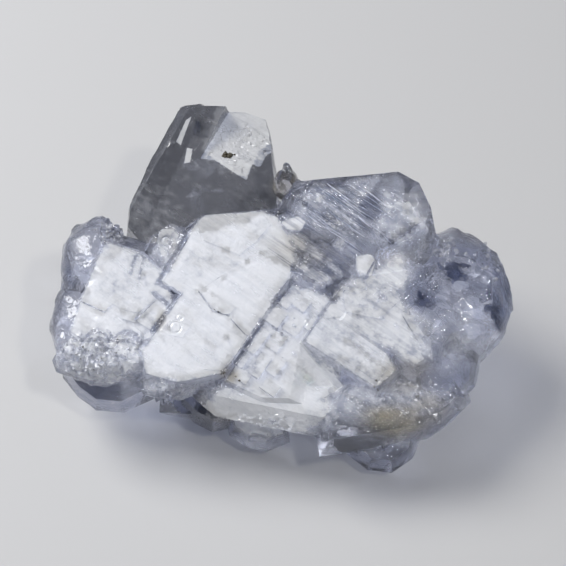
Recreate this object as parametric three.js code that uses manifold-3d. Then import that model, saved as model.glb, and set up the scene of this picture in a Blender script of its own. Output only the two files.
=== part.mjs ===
// A faden quartz cluster: flat quartz crystals grown side by side with their long axes parallel,
// with rounded lobes round the rim and a knot of short crystals behind that the cluster rests on.
// Millimetres, +Z up. The origin is on the ground, under the middle of the cluster's box.

import * as THREE from 'three';
import { mergeVertices } from 'three/addons/utils/BufferGeometryUtils.js';
import Module from 'manifold-3d';

const wasm = await Module();
wasm.setup();

// Driving dimensions. Every crystal is drawn in the plate frame: X across the cluster, Y up along
// its flat faces, Z out of them, with the origin in the middle of the main plate's face.
const plateTilt = 23; // degrees between the flat faces and the ground
const plateHeight = 21.9; // from the ground to the middle of the main plate's face
const axisAngle = 55; // quartz long axis, from X towards Y in the plate frame
const rhombLean = 51.8; // an end face's normal leans this far from the long axis
const cornerLean = 23.1; // how far the end faces beside it lean out of the plate
const sideLean = 30; // how far the side faces lean out of the plate
const blockSize = 160; // rough block that each crystal is cut from

const degree = Math.PI / 180;

// Repeatable random numbers between 0 and 1.
function seededRandom(seed) {
  let state = seed;
  return () => {
    state = (state * 1664525 + 1013904223) % 4294967296;
    return state / 4294967296;
  };
}

// A closed three.js geometry as a solid.
function solidFrom(geometry) {
  geometry.deleteAttribute('normal');
  geometry.deleteAttribute('uv');
  const merged = mergeVertices(geometry, 1e-5);
  return new wasm.Manifold(new wasm.Mesh({
    numProp: 3,
    vertProperties: new Float32Array(merged.attributes.position.array),
    triVerts: new Uint32Array(merged.index.array),
  }));
}

// Cut away what lies beyond the plane through a point with this outward normal.
function cutFace(solid, normal, point) {
  const outward = normal.clone().normalize();
  return solid.trimByPlane(outward.clone().negate().toArray(), -outward.dot(point));
}

function roughBlock(x, y, z) {
  const block = new THREE.BoxGeometry(blockSize, blockSize, blockSize);
  block.translate(x, y, z);
  return solidFrom(block);
}

function join(solids) {
  return solids.reduce((whole, solid) => whole.add(solid));
}

// Unit vector from an azimuth in the plate and a lean out of it, both in degrees.
function faceNormal(azimuth, lean) {
  return new THREE.Vector3(
    Math.cos(lean * degree) * Math.cos(azimuth * degree),
    Math.cos(lean * degree) * Math.sin(azimuth * degree),
    Math.sin(lean * degree),
  );
}

// An edge within the first angle of the long axis' end belongs to the end face, within the second
// to the end faces beside it.
const endFaceReach = 24;
const cornerFaceReach = 69;

// The lean of a crystal face that meets the flat face along an edge, by quartz's own angles: an end
// face above it, an end face beside that, or a side face, as the edge runs across or along the axis.
function crystalLean(azimuth) {
  const offAxis = Math.abs(((azimuth - axisAngle) % 180 + 270) % 180 - 90);
  if (offAxis < endFaceReach) return rhombLean;
  return offAxis < cornerFaceReach ? cornerLean : sideLean;
}

// A flat crystal. The face is its outline in the plate frame, clockwise from its top left; a third
// number is the lean of the edge that starts there. The sides widen down to the girdle, then draw
// in again to the back.
function flatCrystal({ face, front, thick, girdle = thick / 2, backLean = 35 }) {
  const middle = face.reduce((sum, corner) => [sum[0] + corner[0], sum[1] + corner[1]], [0, 0]);
  const level = front - thick / 2;
  let solid = roughBlock(middle[0] / face.length, middle[1] / face.length, level);
  solid = cutFace(solid, new THREE.Vector3(0, 0, 1), new THREE.Vector3(0, 0, front));
  solid = cutFace(solid, new THREE.Vector3(0, 0, -1), new THREE.Vector3(0, 0, front - thick));
  face.forEach(([x, y, edgeLean], i) => {
    const [nextX, nextY] = face[(i + 1) % face.length];
    const azimuth = Math.atan2(nextX - x, y - nextY) / degree;
    const lean = edgeLean ?? crystalLean(azimuth);
    const overhang = girdle * Math.tan(lean * degree);
    const widest = faceNormal(azimuth, 0).multiplyScalar(overhang);
    widest.add(new THREE.Vector3(x, y, front - girdle));
    solid = cutFace(solid, faceNormal(azimuth, lean), new THREE.Vector3(x, y, front));
    solid = cutFace(solid, faceNormal(azimuth, -backLean), widest);
  });
  return solid;
}

// A quartz prism from its root to its tip: six side faces and six end faces, none quite alike.
function prismCrystal({ root, tip, radius, seed, roll = 0 }) {
  const random = seededRandom(seed);
  const start = new THREE.Vector3(...root);
  const axis = new THREE.Vector3(...tip).sub(start);
  const length = axis.length();
  axis.normalize();
  const turn = new THREE.Quaternion().setFromUnitVectors(new THREE.Vector3(0, 0, 1), axis);
  const block = new THREE.BoxGeometry(radius * 4, radius * 4, length * 2);
  let solid = solidFrom(block);
  solid = cutFace(solid, new THREE.Vector3(0, 0, -1), new THREE.Vector3(0, 0, 0));
  for (let side = 0; side < 6; side += 1) {
    const azimuth = roll + side * 60;
    const reach = radius * (0.86 + 0.2 * random());
    const sidePoint = faceNormal(azimuth, 0).multiplyScalar(reach);
    solid = cutFace(solid, faceNormal(azimuth, 0), sidePoint);
    const endDrop = radius * (side % 2 === 0 ? 0.1 : 0.45) * (0.5 + random());
    const endPoint = new THREE.Vector3(0, 0, length - endDrop);
    solid = cutFace(solid, faceNormal(azimuth, 90 - rhombLean), endPoint);
  }
  const place = new THREE.Matrix4().compose(start, turn, new THREE.Vector3(1, 1, 1));
  return solid.transform(place.elements);
}

// A lump whose rounded form is made of many small flat faces, spread evenly over an ellipsoid.
function facetedLump({ at, radii, facets, seed, unevenness = 0.1 }) {
  const random = seededRandom(seed);
  const goldenTurn = 180 * (3 - Math.sqrt(5));
  const spin = 360 * random();
  let solid = roughBlock(0, 0, 0);
  for (let facet = 0; facet < facets; facet += 1) {
    const rise = 1 - (2 * facet + 1) / facets;
    const lean = Math.asin(rise) / degree + 16 * (random() - 0.5);
    const normal = faceNormal(spin + facet * goldenTurn + 20 * (random() - 0.5), lean);
    const reach = 1 - unevenness * random();
    solid = cutFace(solid, normal, normal.clone().multiplyScalar(reach));
  }
  const place = new THREE.Matrix4().makeScale(...radii).setPosition(...at);
  return solid.transform(place.elements);
}

// A ledge on a flat face: an outline raised to a level above it.
function ledge({ outline, top, sink = 1.6 }) {
  const shape = new THREE.Shape(outline.map(([x, y]) => new THREE.Vector2(x, y)));
  const plate = new THREE.ExtrudeGeometry(shape, { depth: sink, bevelEnabled: false });
  plate.translate(0, 0, top - sink);
  return solidFrom(plate);
}

// A low block on a flat face, set square to the crystals' long axis.
function growthStep({ at, across, along, top, sink = 1.6, turn = 0 }) {
  const plate = new THREE.BoxGeometry(across, along, sink);
  plate.rotateZ((axisAngle - 90 + turn) * degree);
  plate.translate(at[0], at[1], top - sink / 2);
  return solidFrom(plate);
}

// A V-shaped groove along a line in the plate, cut below a level.
function groove({ from, to, width, depth, level }) {
  const start = new THREE.Vector2(...from);
  const run = new THREE.Vector2(...to).sub(start);
  const wedge = new THREE.BoxGeometry(run.length(), width / Math.SQRT2, width / Math.SQRT2);
  wedge.rotateX(45 * degree);
  wedge.scale(1, 1, 2 * depth / width);
  wedge.rotateZ(run.angle());
  wedge.translate(start.x + run.x / 2, start.y + run.y / 2, level);
  return solidFrom(wedge);
}

// Levels of the flat faces, measured out of the main plate.
const mainFront = 0;
const leftFront = -0.8;
const upperRightFront = -0.15;
const milkyFront = 0.15;
const steppedFront = -0.8;
const stripFront = -0.25;
const lobeFront = -1.5;
const backFront = -6;

// The flat crystals side by side that make the front.
function frontCrystals() {
  const mainUpper = flatCrystal({
    face: [[-12, 9.8, 25], [-10.8, 10.8, 20], [-2.8, 11.5, 76], [2.6, 4.2, 30], [1.1, 1.7, 30],
      [-5, -7.3, 30], [-16.4, 1.3, 52]],
    front: mainFront, thick: 8, girdle: 2,
  });
  const mainLower = flatCrystal({
    face: [[-13.9, -0.6, 30], [-3, -0.5, 30], [-1, -1.4, 30], [-8, -11.7, 30], [-14.3, -13, 30],
      [-18.6, -11.7, 30], [-19.2, -8.6, 52]],
    front: mainFront, thick: 8, girdle: 2,
  });
  const left = flatCrystal({
    face: [[-24.7, 7.2, 35], [-20.3, 5.9], [-15.5, 2.5], [-15, -3], [-17.5, -6.5, 25],
      [-26.9, -7, 20], [-29.2, -5.6, 25], [-27.9, -1.3]],
    front: leftFront, thick: 7,
  });
  const upperRight = flatCrystal({
    face: [[-3.4, 10.4, 40], [0.4, 13.1, 15], [2.1, 15.8, 15], [16.3, 17.2, 15], [19.2, 15.6, 8],
      [20.8, 12, 8], [21.3, 8.4, 40], [17, -2, 60], [6, -4, 60], [1, 1.4, 60]],
    front: upperRightFront, thick: 7,
  });
  const milky = flatCrystal({
    face: [[12.9, 3.4, 55], [16.6, 5.3, 55], [21.1, 3.9, 60], [23.2, -0.1, 60], [23.4, -5.8, 48],
      [20.4, -10.1, 45], [17.9, -11.2, 40], [12.8, -7.5, 45], [6.9, -3.7, 45], [6.8, -1.3, 45],
      [8.5, 1.3, 45], [12, 1.9, 45]],
    front: milkyFront, thick: 9,
  });
  const strip = flatCrystal({
    face: [[2.9, -7.1], [6.8, -1.5, 30], [12, -5, 30], [15.7, -11.1, 30], [13, -13.9, 45]],
    front: stripFront, thick: 7,
  });
  const windowCrystal = flatCrystal({
    face: [[23.4, 4.9, 40], [26, 4.6, 25], [29, 1.6, 20], [28.8, -1.4, 30], [26.4, -2.4, 45],
      [23.4, 1.6, 60]],
    front: milkyFront, thick: 3,
  });
  const smallCrystal = flatCrystal({
    face: [[-17.8, 8.2, 15], [-15.6, 9.8, 15], [-13.7, 9.2, 30], [-14.4, 5.4, 40], [-17, 3.6, 40],
      [-18.8, 6, 25]],
    front: leftFront + 0.1, thick: 6, girdle: 2,
  });
  return join([mainUpper, mainLower, left, upperRight, milky, steppedCrystal(), strip,
    windowCrystal, smallCrystal]);
}

// The stepped crystal right of the main groove. Its right part falls away in a smooth slope.
function steppedCrystal() {
  const crystal = flatCrystal({
    face: [[1.4, 1.1, 40], [6.8, -1.2, 40], [8, -5, 30], [8.7, -13.3, 40], [5.2, -15.2, 40],
      [-2.8, -14.9, 36], [-7.7, -12.6, 30]],
    front: steppedFront, thick: 8,
  });
  const slope = faceNormal(-12, 71);
  return cutFace(crystal, slope, new THREE.Vector3(2.2, -9, steppedFront));
}

// The mass behind the front faces that they all grow from.
function innerMass() {
  return flatCrystal({
    face: [[-23, 5, 5], [-10, 9.5, 5], [3, 13, 5], [16, 14, 5], [19.5, 8, 5], [21.5, -4, 5],
      [18, -14, 5], [8, -15, 5], [-6, -12, 5], [-20, -7, 5], [-25, -3, 5]],
    front: -3, thick: 9, girdle: 3, backLean: 45,
  });
}

// Ledges where growth stopped: each outline stands this far above its crystal's flat face.
const ledges = [
  // across the top of the main plate
  { level: mainFront, rise: 0.14, outline: [[-10.9, 7.1], [-8.3, 6], [-5.8, 4.9], [-5.2, 5.6],
    [-3.7, 6.8], [-1.6, 9.4], [-2.9, 11.3], [-10.7, 10.6], [-11.8, 9.6]] },
  // beside the main groove
  { level: mainFront, rise: 0.16, outline: [[-11.3, -0.1], [-10.3, -1.6], [-9.3, -2.8], [-7.9, -3.5],
    [-7.1, -3.4], [-6.4, -2.5], [-6.2, -2.7], [-7, -4.2], [-5.4, -6], [-4.4, -6.7], [0.6, 1.4],
    [1.4, 3.4], [-3.4, 6], [-5.2, 3.9], [-8, 2.2]] },
  { level: mainFront, rise: 0.1, outline: [[-9.6, -8], [-7.6, -6.4], [-6.6, -9.2], [-8.3, -11.4],
    [-10.6, -11.2]] },
  { level: mainFront, rise: 0.1, outline: [[-15.7, -4.6], [-13.9, -3.9], [-12.6, -5.2], [-13.6, -6.8],
    [-15.6, -6.4]] },
  // the left plate above its stair of ledges, and two small boxes on it
  { level: leftFront, rise: 0.18, outline: [[-27.7, -1.5], [-24.5, -3], [-23.4, -1.8], [-22.2, -2.6],
    [-20, -3.2], [-17.6, -1.3], [-16.4, 1.2], [-20.5, 5.6], [-24.6, 6.8]] },
  { level: leftFront, rise: 0.32, outline: [[-22.2, -2.6], [-20, -3.2], [-20.2, -4.5], [-22, -4]] },
  { level: leftFront, rise: 0.46, outline: [[-20, -4.3], [-17.6, -1.6], [-16.1, -2.9], [-18.1, -5.6]] },
  { level: leftFront, rise: 0.3, outline: [[-17.3, 0.9], [-14.2, -0.9], [-15, -2], [-18, -0.1]] },
  { level: leftFront, rise: 0.26, outline: [[-20.6, 4.6], [-19.6, 5.2], [-17.9, 2.6], [-18.9, 2]] },
  { level: leftFront, rise: 0.34, outline: [[-18.6, 3.6], [-17.8, 4], [-16.6, 1.8], [-17.4, 1.4]] },
  // two small faces beside the main plate's top, and the box between the two right crystals
  { level: upperRightFront, rise: 0.5, outline: [[-0.3, 9.7], [2.2, 10.6], [3.3, 9.7], [2.5, 8.4],
    [0.7, 8.6]] },
  { level: upperRightFront, rise: 0.4, outline: [[10.3, 4.9], [12.4, 5.1], [13.1, 4], [12.4, 2],
    [10.8, 1.7], [10.2, 3.1]] },
  { level: upperRightFront, rise: 0.28, outline: [[12.8, 9.6], [17.2, 12.4], [19.4, 9.8], [15, 6.8]] },
  { level: upperRightFront, rise: 0.2, outline: [[1.2, 14], [3.6, 15.2], [11, 9.8], [8.8, 8.6]] },
  // low terraces on the milky crystal
  { level: milkyFront, rise: 0.2, outline: [[8.4, -0.2], [13, 1.6], [16.6, -1.2], [13.4, -4.2],
    [8.8, -3.2]] },
  { level: milkyFront, rise: 0.26, outline: [[16.4, -3.4], [19.4, -1.4], [22, -4.4], [19, -8]] },
  { level: stripFront, rise: 0.14, outline: [[6.2, -8.2], [8, -6.2], [14.4, -10.8], [13, -12.9]] },
];

// Straight fine ridges that run across the long axis beside the main plate's upper right edge.
const ridgeRows = 9;
const ridgeMiddle = [4.2, 4.6];
const ridgePitch = 0.62;

function crossRidges() {
  const random = seededRandom(5);
  const ridges = [];
  for (let row = 0; row < ridgeRows; row += 1) {
    const place = new THREE.Vector3(...ridgeMiddle, 0);
    place.addScaledVector(faceNormal(axisAngle, 0), ridgePitch * (row - (ridgeRows - 1) / 2));
    place.addScaledVector(faceNormal(axisAngle - 90, 0), 3 * (random() - 0.5));
    ridges.push(growthStep({
      at: [place.x, place.y], across: 6 + 6 * random(), along: ridgePitch * (0.3 + 0.4 * random()),
      top: upperRightFront + 0.06 + 0.12 * random(),
    }));
  }
  return ridges;
}

// Blocks that fill the stepped field to the right of the main groove: [X, Y, across, along, rise].
const steppedBlocks = [
  [2.7, -1.9, 2, 1.8, 0.85],
  [0.2, -1.6, 2.1, 1.2, 0.5],
  [-1.2, -3.4, 3.2, 2.6, 0.62],
  [1.6, -5, 2.3, 2.4, 0.45],
  [-3.6, -6.9, 2.2, 3.8, 0.55],
  [-0.8, -7.2, 1.9, 2.6, 0.3],
  [-5.6, -9.6, 1.8, 2.2, 0.38],
  [-3, -10.6, 1.7, 3.4, 0.66],
  [-0.8, -10.6, 1.6, 2.8, 0.5],
  [-5.4, -12.1, 2, 1.4, 0.6],
  [-1.6, -13.6, 2.4, 1.7, 0.62],
  [4.4, -4.6, 1.5, 2.6, 0.3],
];

function blockField() {
  const random = seededRandom(21);
  return steppedBlocks.map(([x, y, across, along, rise]) => growthStep({
    at: [x, y], across, along, top: steppedFront + rise, turn: 6 * (random() - 0.5),
  }));
}

// Grooves between and across the flat faces.
const grooves = [
  { from: [-20.4, -4.2], to: [-17.6, -1.5], width: 0.3, depth: 0.4, level: leftFront + 0.2 },
  { from: [-27.7, -1.5], to: [-24.5, -3], width: 0.26, depth: 0.3, level: leftFront + 0.1 },
  { from: [-11.5, -0.2], to: [-9.5, -3], width: 0.22, depth: 0.26, level: mainFront },
  { from: [-9.5, -3], to: [-7.2, -3.7], width: 0.22, depth: 0.26, level: mainFront },
  { from: [-7, -4.2], to: [-5.2, -6.2], width: 0.22, depth: 0.26, level: mainFront + 0.1 },
  { from: [12.8, 4], to: [11.4, 1.5], width: 0.36, depth: 0.5, level: milkyFront },
  { from: [8.6, 1.4], to: [6.8, -1.3], width: 0.3, depth: 0.4, level: milkyFront },
];

// The crystals along the lower edge: the smooth lobe and the long stained one.
function lowerCrystals() {
  const lobe = flatCrystal({
    face: [[-10.4, -13.2, 30], [-2.8, -12.6, 30], [6.2, -13.6, 35], [7.4, -16.8, 42], [5.3, -17.6, 44],
      [2.5, -17, 46], [-3.3, -16, 46], [-8.6, -14.7, 40]],
    front: lobeFront, thick: 7, girdle: 2.4,
  });
  const stained = flatCrystal({
    face: [[8.7, -13.2, 35], [15.7, -10.7, 35], [20.4, -9.6, 30], [23.4, -12, 30], [24, -14.5, 25],
      [22, -16.6, 25], [19, -18.6], [13.6, -19.5], [6.4, -20.8], [5.9, -17]],
    front: lobeFront, thick: 7,
  });
  return join([lobe, stained]);
}

// The rounded masses round the rim, and the small knob between the two upper crystals.
function lobes() {
  const rounded = [
    { at: [-26.3, 4.4, -4.6], radii: [5, 7.6, 4.4], facets: 60, seed: 11 },
    { at: [-28, -3.8, -4.4], radii: [4.6, 6.6, 3.8], facets: 48, seed: 12 },
    { at: [24.1, -0.3, -4.6], radii: [8.1, 10.6, 5.2], facets: 84, seed: 13 },
    { at: [25, 0.6, -8], radii: [7.6, 8.8, 4.6], facets: 52, seed: 14 },
    { at: [21, -8.4, -5.2], radii: [6.9, 8.2, 4.6], facets: 48, seed: 20 },
    { at: [-15.4, -12.4, -2.8], radii: [4.5, 2.6, 2.5], facets: 30, seed: 15 },
    { at: [-25, -9.1, -3.6], radii: [6.7, 3.6, 2.8], facets: 44, seed: 16 },
    { at: [0.7, 17.1, -5.4], radii: [1.9, 2.2, 2.2], facets: 20, seed: 19 },
  ];
  return rounded.map(facetedLump);
}

// Rounded knobs crowded on the lower left rim, each a cap of many small faces.
const knobCount = 15;
const knobField = { left: -30.2, right: -18.8, low: -10.6, high: -6.4, level: -2 };

function rimKnobs() {
  const random = seededRandom(9);
  const knobs = [];
  for (let i = 0; i < knobCount; i += 1) {
    const along = (i + random()) / knobCount;
    const radius = 1.1 + 1.1 * random();
    const x = knobField.left + along * (knobField.right - knobField.left);
    const y = knobField.low + random() * (knobField.high - knobField.low);
    knobs.push(facetedLump({
      at: [x, y, knobField.level + 0.5 * random()],
      radii: [radius * (0.8 + 0.4 * random()), radius, radius * 0.9], facets: 24, seed: 100 + i,
    }));
  }
  return knobs;
}

// Patches of small pointed crystals. Each stands round a direction out of a centre inside the body.
const crystalPatches = [
  { centre: [-25, -8.5, -4], azimuth: -90, lean: 58, cone: 52, count: 18, size: 0.9 },
  { centre: [-24.5, 7, -5], azimuth: 60, lean: 35, cone: 34, count: 9, size: 0.75 },
  { centre: [19, 4, -6], azimuth: 60, lean: 40, cone: 20, count: 6, size: 1.1 },
  { centre: [-15.5, -11, -4], azimuth: -95, lean: 12, cone: 26, count: 5, size: 0.8 },
  { centre: [20, -13, -5], azimuth: -50, lean: 25, cone: 34, count: 5, size: 0.9 },
  { centre: [2, 12, -7], azimuth: 100, lean: 20, cone: 24, count: 4, size: 1.2 },
];

function pointedCrystals(body) {
  const random = seededRandom(77);
  const target = meshFrom(body, 'body', new THREE.MeshBasicMaterial());
  const away = 100;
  const crystals = [];
  crystalPatches.forEach(({ centre, azimuth, lean, cone, count, size }) => {
    for (let i = 0; i < count; i += 1) {
      const side = 360 * random();
      const spread = cone * Math.sqrt(random());
      const out = faceNormal(
        azimuth + spread * Math.cos(side * degree),
        lean + spread * Math.sin(side * degree),
      );
      const start = new THREE.Vector3(...centre).addScaledVector(out, away);
      const hit = new THREE.Raycaster(start, out.clone().negate()).intersectObject(target)[0];
      const length = size * (1.3 + 1.3 * random());
      const lift = hit.face.normal.clone().lerp(out, 0.3 + 0.5 * random()).normalize();
      crystals.push(prismCrystal({
        root: hit.point.clone().addScaledVector(lift, -0.6 * length).toArray(),
        tip: hit.point.clone().addScaledVector(lift, 0.55 * length).toArray(),
        radius: size * (0.4 + 0.35 * random()), seed: 200 + crystals.length, roll: 60 * random(),
      }));
    }
  });
  return crystals;
}

// The tall crystal at the upper left, broken away in a slope at its top right.
const slopeAzimuth = 82;
const slopeLean = 64;
const breakSideAzimuth = 156;
const cornerAzimuth = 152;
const cornerCutLean = 48;

function backCrystal() {
  const crystal = flatCrystal({
    face: [[-14.4, 29.3, 10], [-6.2, 29.1, 12], [-3.2, 28, 12], [-2, 23.9, 8], [-0.7, 15.3, 8],
      [-2, 8, 8], [-18, 6, 8], [-21.9, 10.9, 8], [-21.7, 15.4, 8], [-18.9, 21, 8], [-16.1, 27.6, 10]],
    front: backFront, thick: 11, girdle: 5, backLean: 28,
  });
  let broken = roughBlock(0, 0, 0);
  broken = cutFace(
    broken,
    faceNormal(slopeAzimuth, slopeLean).negate(),
    new THREE.Vector3(-7, 20.3, backFront),
  );
  broken = cutFace(
    broken,
    faceNormal(breakSideAzimuth, 0),
    new THREE.Vector3(-11.2, 22.4, backFront),
  );
  const whole = cutFace(
    crystal.subtract(broken),
    faceNormal(cornerAzimuth, cornerCutLean),
    new THREE.Vector3(-15.2, 25.6, backFront),
  );
  const cap = flatCrystal({
    face: [[-14.2, 29.6, 15], [-11.9, 29.9, 15], [-11.2, 28.7, 20], [-11.8, 26.2, 30], [-13.4, 26, 30],
      [-14.6, 27.6, 20]],
    front: backFront - 1, thick: 5,
  });
  return whole.add(cap);
}

// Flat crystals that stick out under the lower edge: the two corners and the dim pair between them.
function lowerRimCrystals() {
  const rims = [
    { face: [[-30.6, -6], [-18.8, -6], [-18.8, -12.4], [-22.5, -14.2], [-25.9, -13.9], [-28.2, -12.2],
      [-30.2, -9.8]], front: -7, thick: 10.5, girdle: 3.5 },
    { face: [[6.5, -15], [18, -15], [18.3, -19], [17.5, -20.9], [16, -22], [13.9, -23.4],
      [12.4, -22.2], [8, -21.6]], front: -7, thick: 10, girdle: 4 },
    { face: [[-15, -9], [-7.5, -9], [-7, -16], [-9.7, -16.7], [-11.8, -15.6], [-13.6, -13.9]],
      front: -7.4, thick: 10, girdle: 4 },
    { face: [[-8, -10], [0, -10], [0, -18.4], [-2.2, -19.3], [-4.6, -18.8], [-6.5, -17.5]],
      front: -8, thick: 10, girdle: 4 },
  ];
  const rimLean = 15;
  return rims.map((rim) => flatCrystal({
    ...rim, face: rim.face.map(([x, y]) => [x, y, rimLean]), backLean: 40,
  }));
}

// Crystals under the plates, in the standing frame: [root, tip, radius]. The low ones lie on a side
// face, which the ground plane finishes flat.
const lyingCrystals = [
  { root: [-2.6, 2.5, 5], tip: [-24.6, 9.5, 6.5], radius: 6.8 },
  { root: [1.4, 0.5, 5], tip: [24.4, -3.5, 6], radius: 6.6 },
  { root: [3.4, 2.5, 5.5], tip: [11.4, 28.5, 8], radius: 7 },
  { root: [-4.6, 2.5, 5.5], tip: [-9.6, 26.5, 7.5], radius: 6.8 },
  { root: [3.4, 0.5, 5], tip: [16.4, -15.5, 5], radius: 6.4 },
  { root: [-2.6, 1.5, 5], tip: [-18.6, -11.5, 6], radius: 6 },
];
const leaningCrystals = [
  { root: [-4.6, 4.5, 10], tip: [-27.6, 8.5, 14.5], radius: 5.8 },
  { root: [3.4, 3.5, 11], tip: [26.4, 7.5, 13.5], radius: 6.6 },
  { root: [1.4, 6.5, 12], tip: [5.4, 25.5, 17], radius: 6.4 },
  { root: [-6.6, 6.5, 12], tip: [-20.6, 20.5, 16], radius: 6 },
  { root: [7.4, 6.5, 12], tip: [21.4, 21.5, 18], radius: 6 },
  { root: [5.4, -1.5, 8], tip: [22.4, -10.5, 10], radius: 6.6 },
];

// A knot with prisms growing out of it, which carries the plates.
function undersideCrystals() {
  const knot = facetedLump({ at: [-0.6, 3.5, 9], radii: [17, 13, 9.5], facets: 40, seed: 30 });
  const prisms = [...lyingCrystals, ...leaningCrystals].map((crystal, i) => prismCrystal({
    ...crystal, seed: 31 + i, roll: 90,
  }));
  return join([knot, ...prisms]);
}

// The plates leaned back over the crystals beneath them, cut level where they stand.
function standOnGround(plates, underside) {
  const stand = new THREE.Matrix4().makeRotationX(plateTilt * degree);
  stand.setPosition(0, 0, plateHeight);
  const standing = plates.transform(stand.elements).add(underside);
  return cutFace(standing, new THREE.Vector3(0, 0, -1), new THREE.Vector3(0, 0, 0));
}

function meshFrom(solid, name, material) {
  const { vertProperties, triVerts } = solid.getMesh();
  const geometry = new THREE.BufferGeometry();
  geometry.setAttribute('position', new THREE.BufferAttribute(new Float32Array(vertProperties), 3));
  geometry.setIndex(new THREE.BufferAttribute(new Uint32Array(triVerts), 1));
  const mesh = new THREE.Mesh(geometry, material);
  mesh.name = name;
  return mesh;
}

const quartz = new THREE.MeshStandardMaterial({ color: 0xdfe2ec, roughness: 0.12, metalness: 0 });

const smooth = join([
  innerMass(),
  frontCrystals(),
  lowerCrystals(),
  backCrystal(),
  ...lobes(),
  ...lowerRimCrystals(),
]);
const raised = ledges.map(({ level, rise, outline }) => ledge({ outline, top: level + rise }));
const stepped = join([smooth, ...raised, ...crossRidges(), ...blockField()]);
const grooved = stepped.subtract(join(grooves.map(groove)));
const knobbed = join([grooved, ...rimKnobs()]);
const grown = join([knobbed, ...pointedCrystals(knobbed)]);

const group = new THREE.Group();
const cluster = meshFrom(standOnGround(grown, undersideCrystals()), 'quartz_cluster', quartz);
const middle = new THREE.Box3().setFromObject(cluster).getCenter(new THREE.Vector3());
cluster.geometry.translate(-middle.x, -middle.y, 0);
group.add(cluster);

export default group;
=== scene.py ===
# The looks of a faden quartz cluster: one grown-together body of clear and milky quartz, with white
# veils, a faden thread and healed cracks inside it. Lengths are in millimetres until a mesh is made.
import bmesh
import bpy
import numpy as np
from mathutils import Euler, Matrix, Vector
from mathutils.bvhtree import BVHTree


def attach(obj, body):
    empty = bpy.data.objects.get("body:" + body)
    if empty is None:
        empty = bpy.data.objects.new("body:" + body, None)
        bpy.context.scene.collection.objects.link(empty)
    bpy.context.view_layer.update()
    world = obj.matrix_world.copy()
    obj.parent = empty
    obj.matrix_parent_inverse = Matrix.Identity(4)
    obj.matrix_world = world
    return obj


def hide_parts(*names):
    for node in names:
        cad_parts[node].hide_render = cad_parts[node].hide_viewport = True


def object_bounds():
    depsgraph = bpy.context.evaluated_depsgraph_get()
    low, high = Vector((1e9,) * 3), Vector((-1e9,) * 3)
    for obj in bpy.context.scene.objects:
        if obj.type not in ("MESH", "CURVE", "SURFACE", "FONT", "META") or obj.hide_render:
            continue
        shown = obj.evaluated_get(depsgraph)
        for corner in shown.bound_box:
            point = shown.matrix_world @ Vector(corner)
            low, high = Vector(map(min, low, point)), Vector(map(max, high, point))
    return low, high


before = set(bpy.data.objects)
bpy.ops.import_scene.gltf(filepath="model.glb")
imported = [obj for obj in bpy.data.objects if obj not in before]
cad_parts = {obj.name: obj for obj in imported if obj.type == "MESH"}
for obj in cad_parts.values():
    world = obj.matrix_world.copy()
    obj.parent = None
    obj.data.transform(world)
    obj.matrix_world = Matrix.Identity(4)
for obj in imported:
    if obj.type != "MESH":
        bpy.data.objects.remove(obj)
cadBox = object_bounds()
millimetre = 0.001
boxLow, boxHigh = np.array(cadBox) / millimetre
bodyNode = "quartz_cluster"
bodyName = "root"

# The flat faces lie in the plate frame: X across, Y up along them, Z out of them.
plateFrame = {"tilt": 23.0, "origin": (0.095, -6.698, 21.9), "axisAngle": 55.0}
tilt = np.radians(plateFrame["tilt"])
axisTurn = np.radians(plateFrame["axisAngle"])
plateRows = np.array([
    [1, 0, 0],
    [0, np.cos(tilt), np.sin(tilt)],
    [0, -np.sin(tilt), np.cos(tilt)],
])
plateOrigin = np.array(plateFrame["origin"])
plateNormal = plateRows[2]
alongAxis = np.array([np.cos(axisTurn), np.sin(axisTurn)])
acrossAxis = np.array([np.sin(axisTurn), -np.cos(axisTurn)])


def toPlate(points):
    return (points - plateOrigin) @ plateRows.T


def fromPlate(points):
    return points @ plateRows + plateOrigin


def columns(*parts):
    return np.stack(parts, 1)


def unit(vectors):
    return vectors / np.maximum(np.linalg.norm(vectors, axis=1, keepdims=True), 1e-12)


def smoothStep(low, high, values):
    # 0 below low, 1 above high, and s s (3 - 2 s) of the share s of the way between them
    share = np.clip((values - low) / (high - low), 0, 1)
    return share * share * (3 - 2 * share)


# Large odd numbers, one for each index and one for the seed, and the shifts and factors that mix them.
hashFactors = (374761393, 668265263, 2246822519, 3266489917)
hashMixes = ((13, 1274126177), (16, 2654435761), (15, 1))
hashMask = 2 ** 32 - 1


def hashNoise(cells, seed):
    # a number from 0 to 1 for each whole-number cell: its indices multiplied by large odd numbers and mixed
    c = cells.astype(np.int64)
    mixed = c[..., 0] * hashFactors[0] + c[..., 1] * hashFactors[1] + c[..., 2] * hashFactors[2]
    mixed = (mixed + seed * hashFactors[3]) & hashMask
    for shift, factor in hashMixes:
        mixed = ((mixed ^ (mixed >> shift)) * factor) & hashMask
    return mixed / float(hashMask)


def smoothNoise(points, size, seed):
    # the corner numbers of each cell, blended by a smooth step along X, Y and Z
    scaled = points / size
    cell = np.floor(scaled).astype(np.int64)
    part = scaled - cell
    part = part * part * (3 - 2 * part)
    total = np.zeros(len(points))
    for corner in np.ndindex(2, 2, 2):
        weight = np.prod(np.where(np.array(corner) == 1, part, 1 - part), axis=1)
        total += weight * hashNoise(cell + np.array(corner), seed)
    return total


def cloudNoise(points, size, seed, octaves=3):
    # smooth noise added at halving sizes and halving strengths, brought back to 0 to 1
    total, strength, whole = np.zeros(len(points)), 1.0, 0.0
    for octave in range(octaves):
        total += strength * smoothNoise(points, size / 2 ** octave, seed + octave)
        whole += strength
        strength /= 2
    return total / whole


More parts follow.
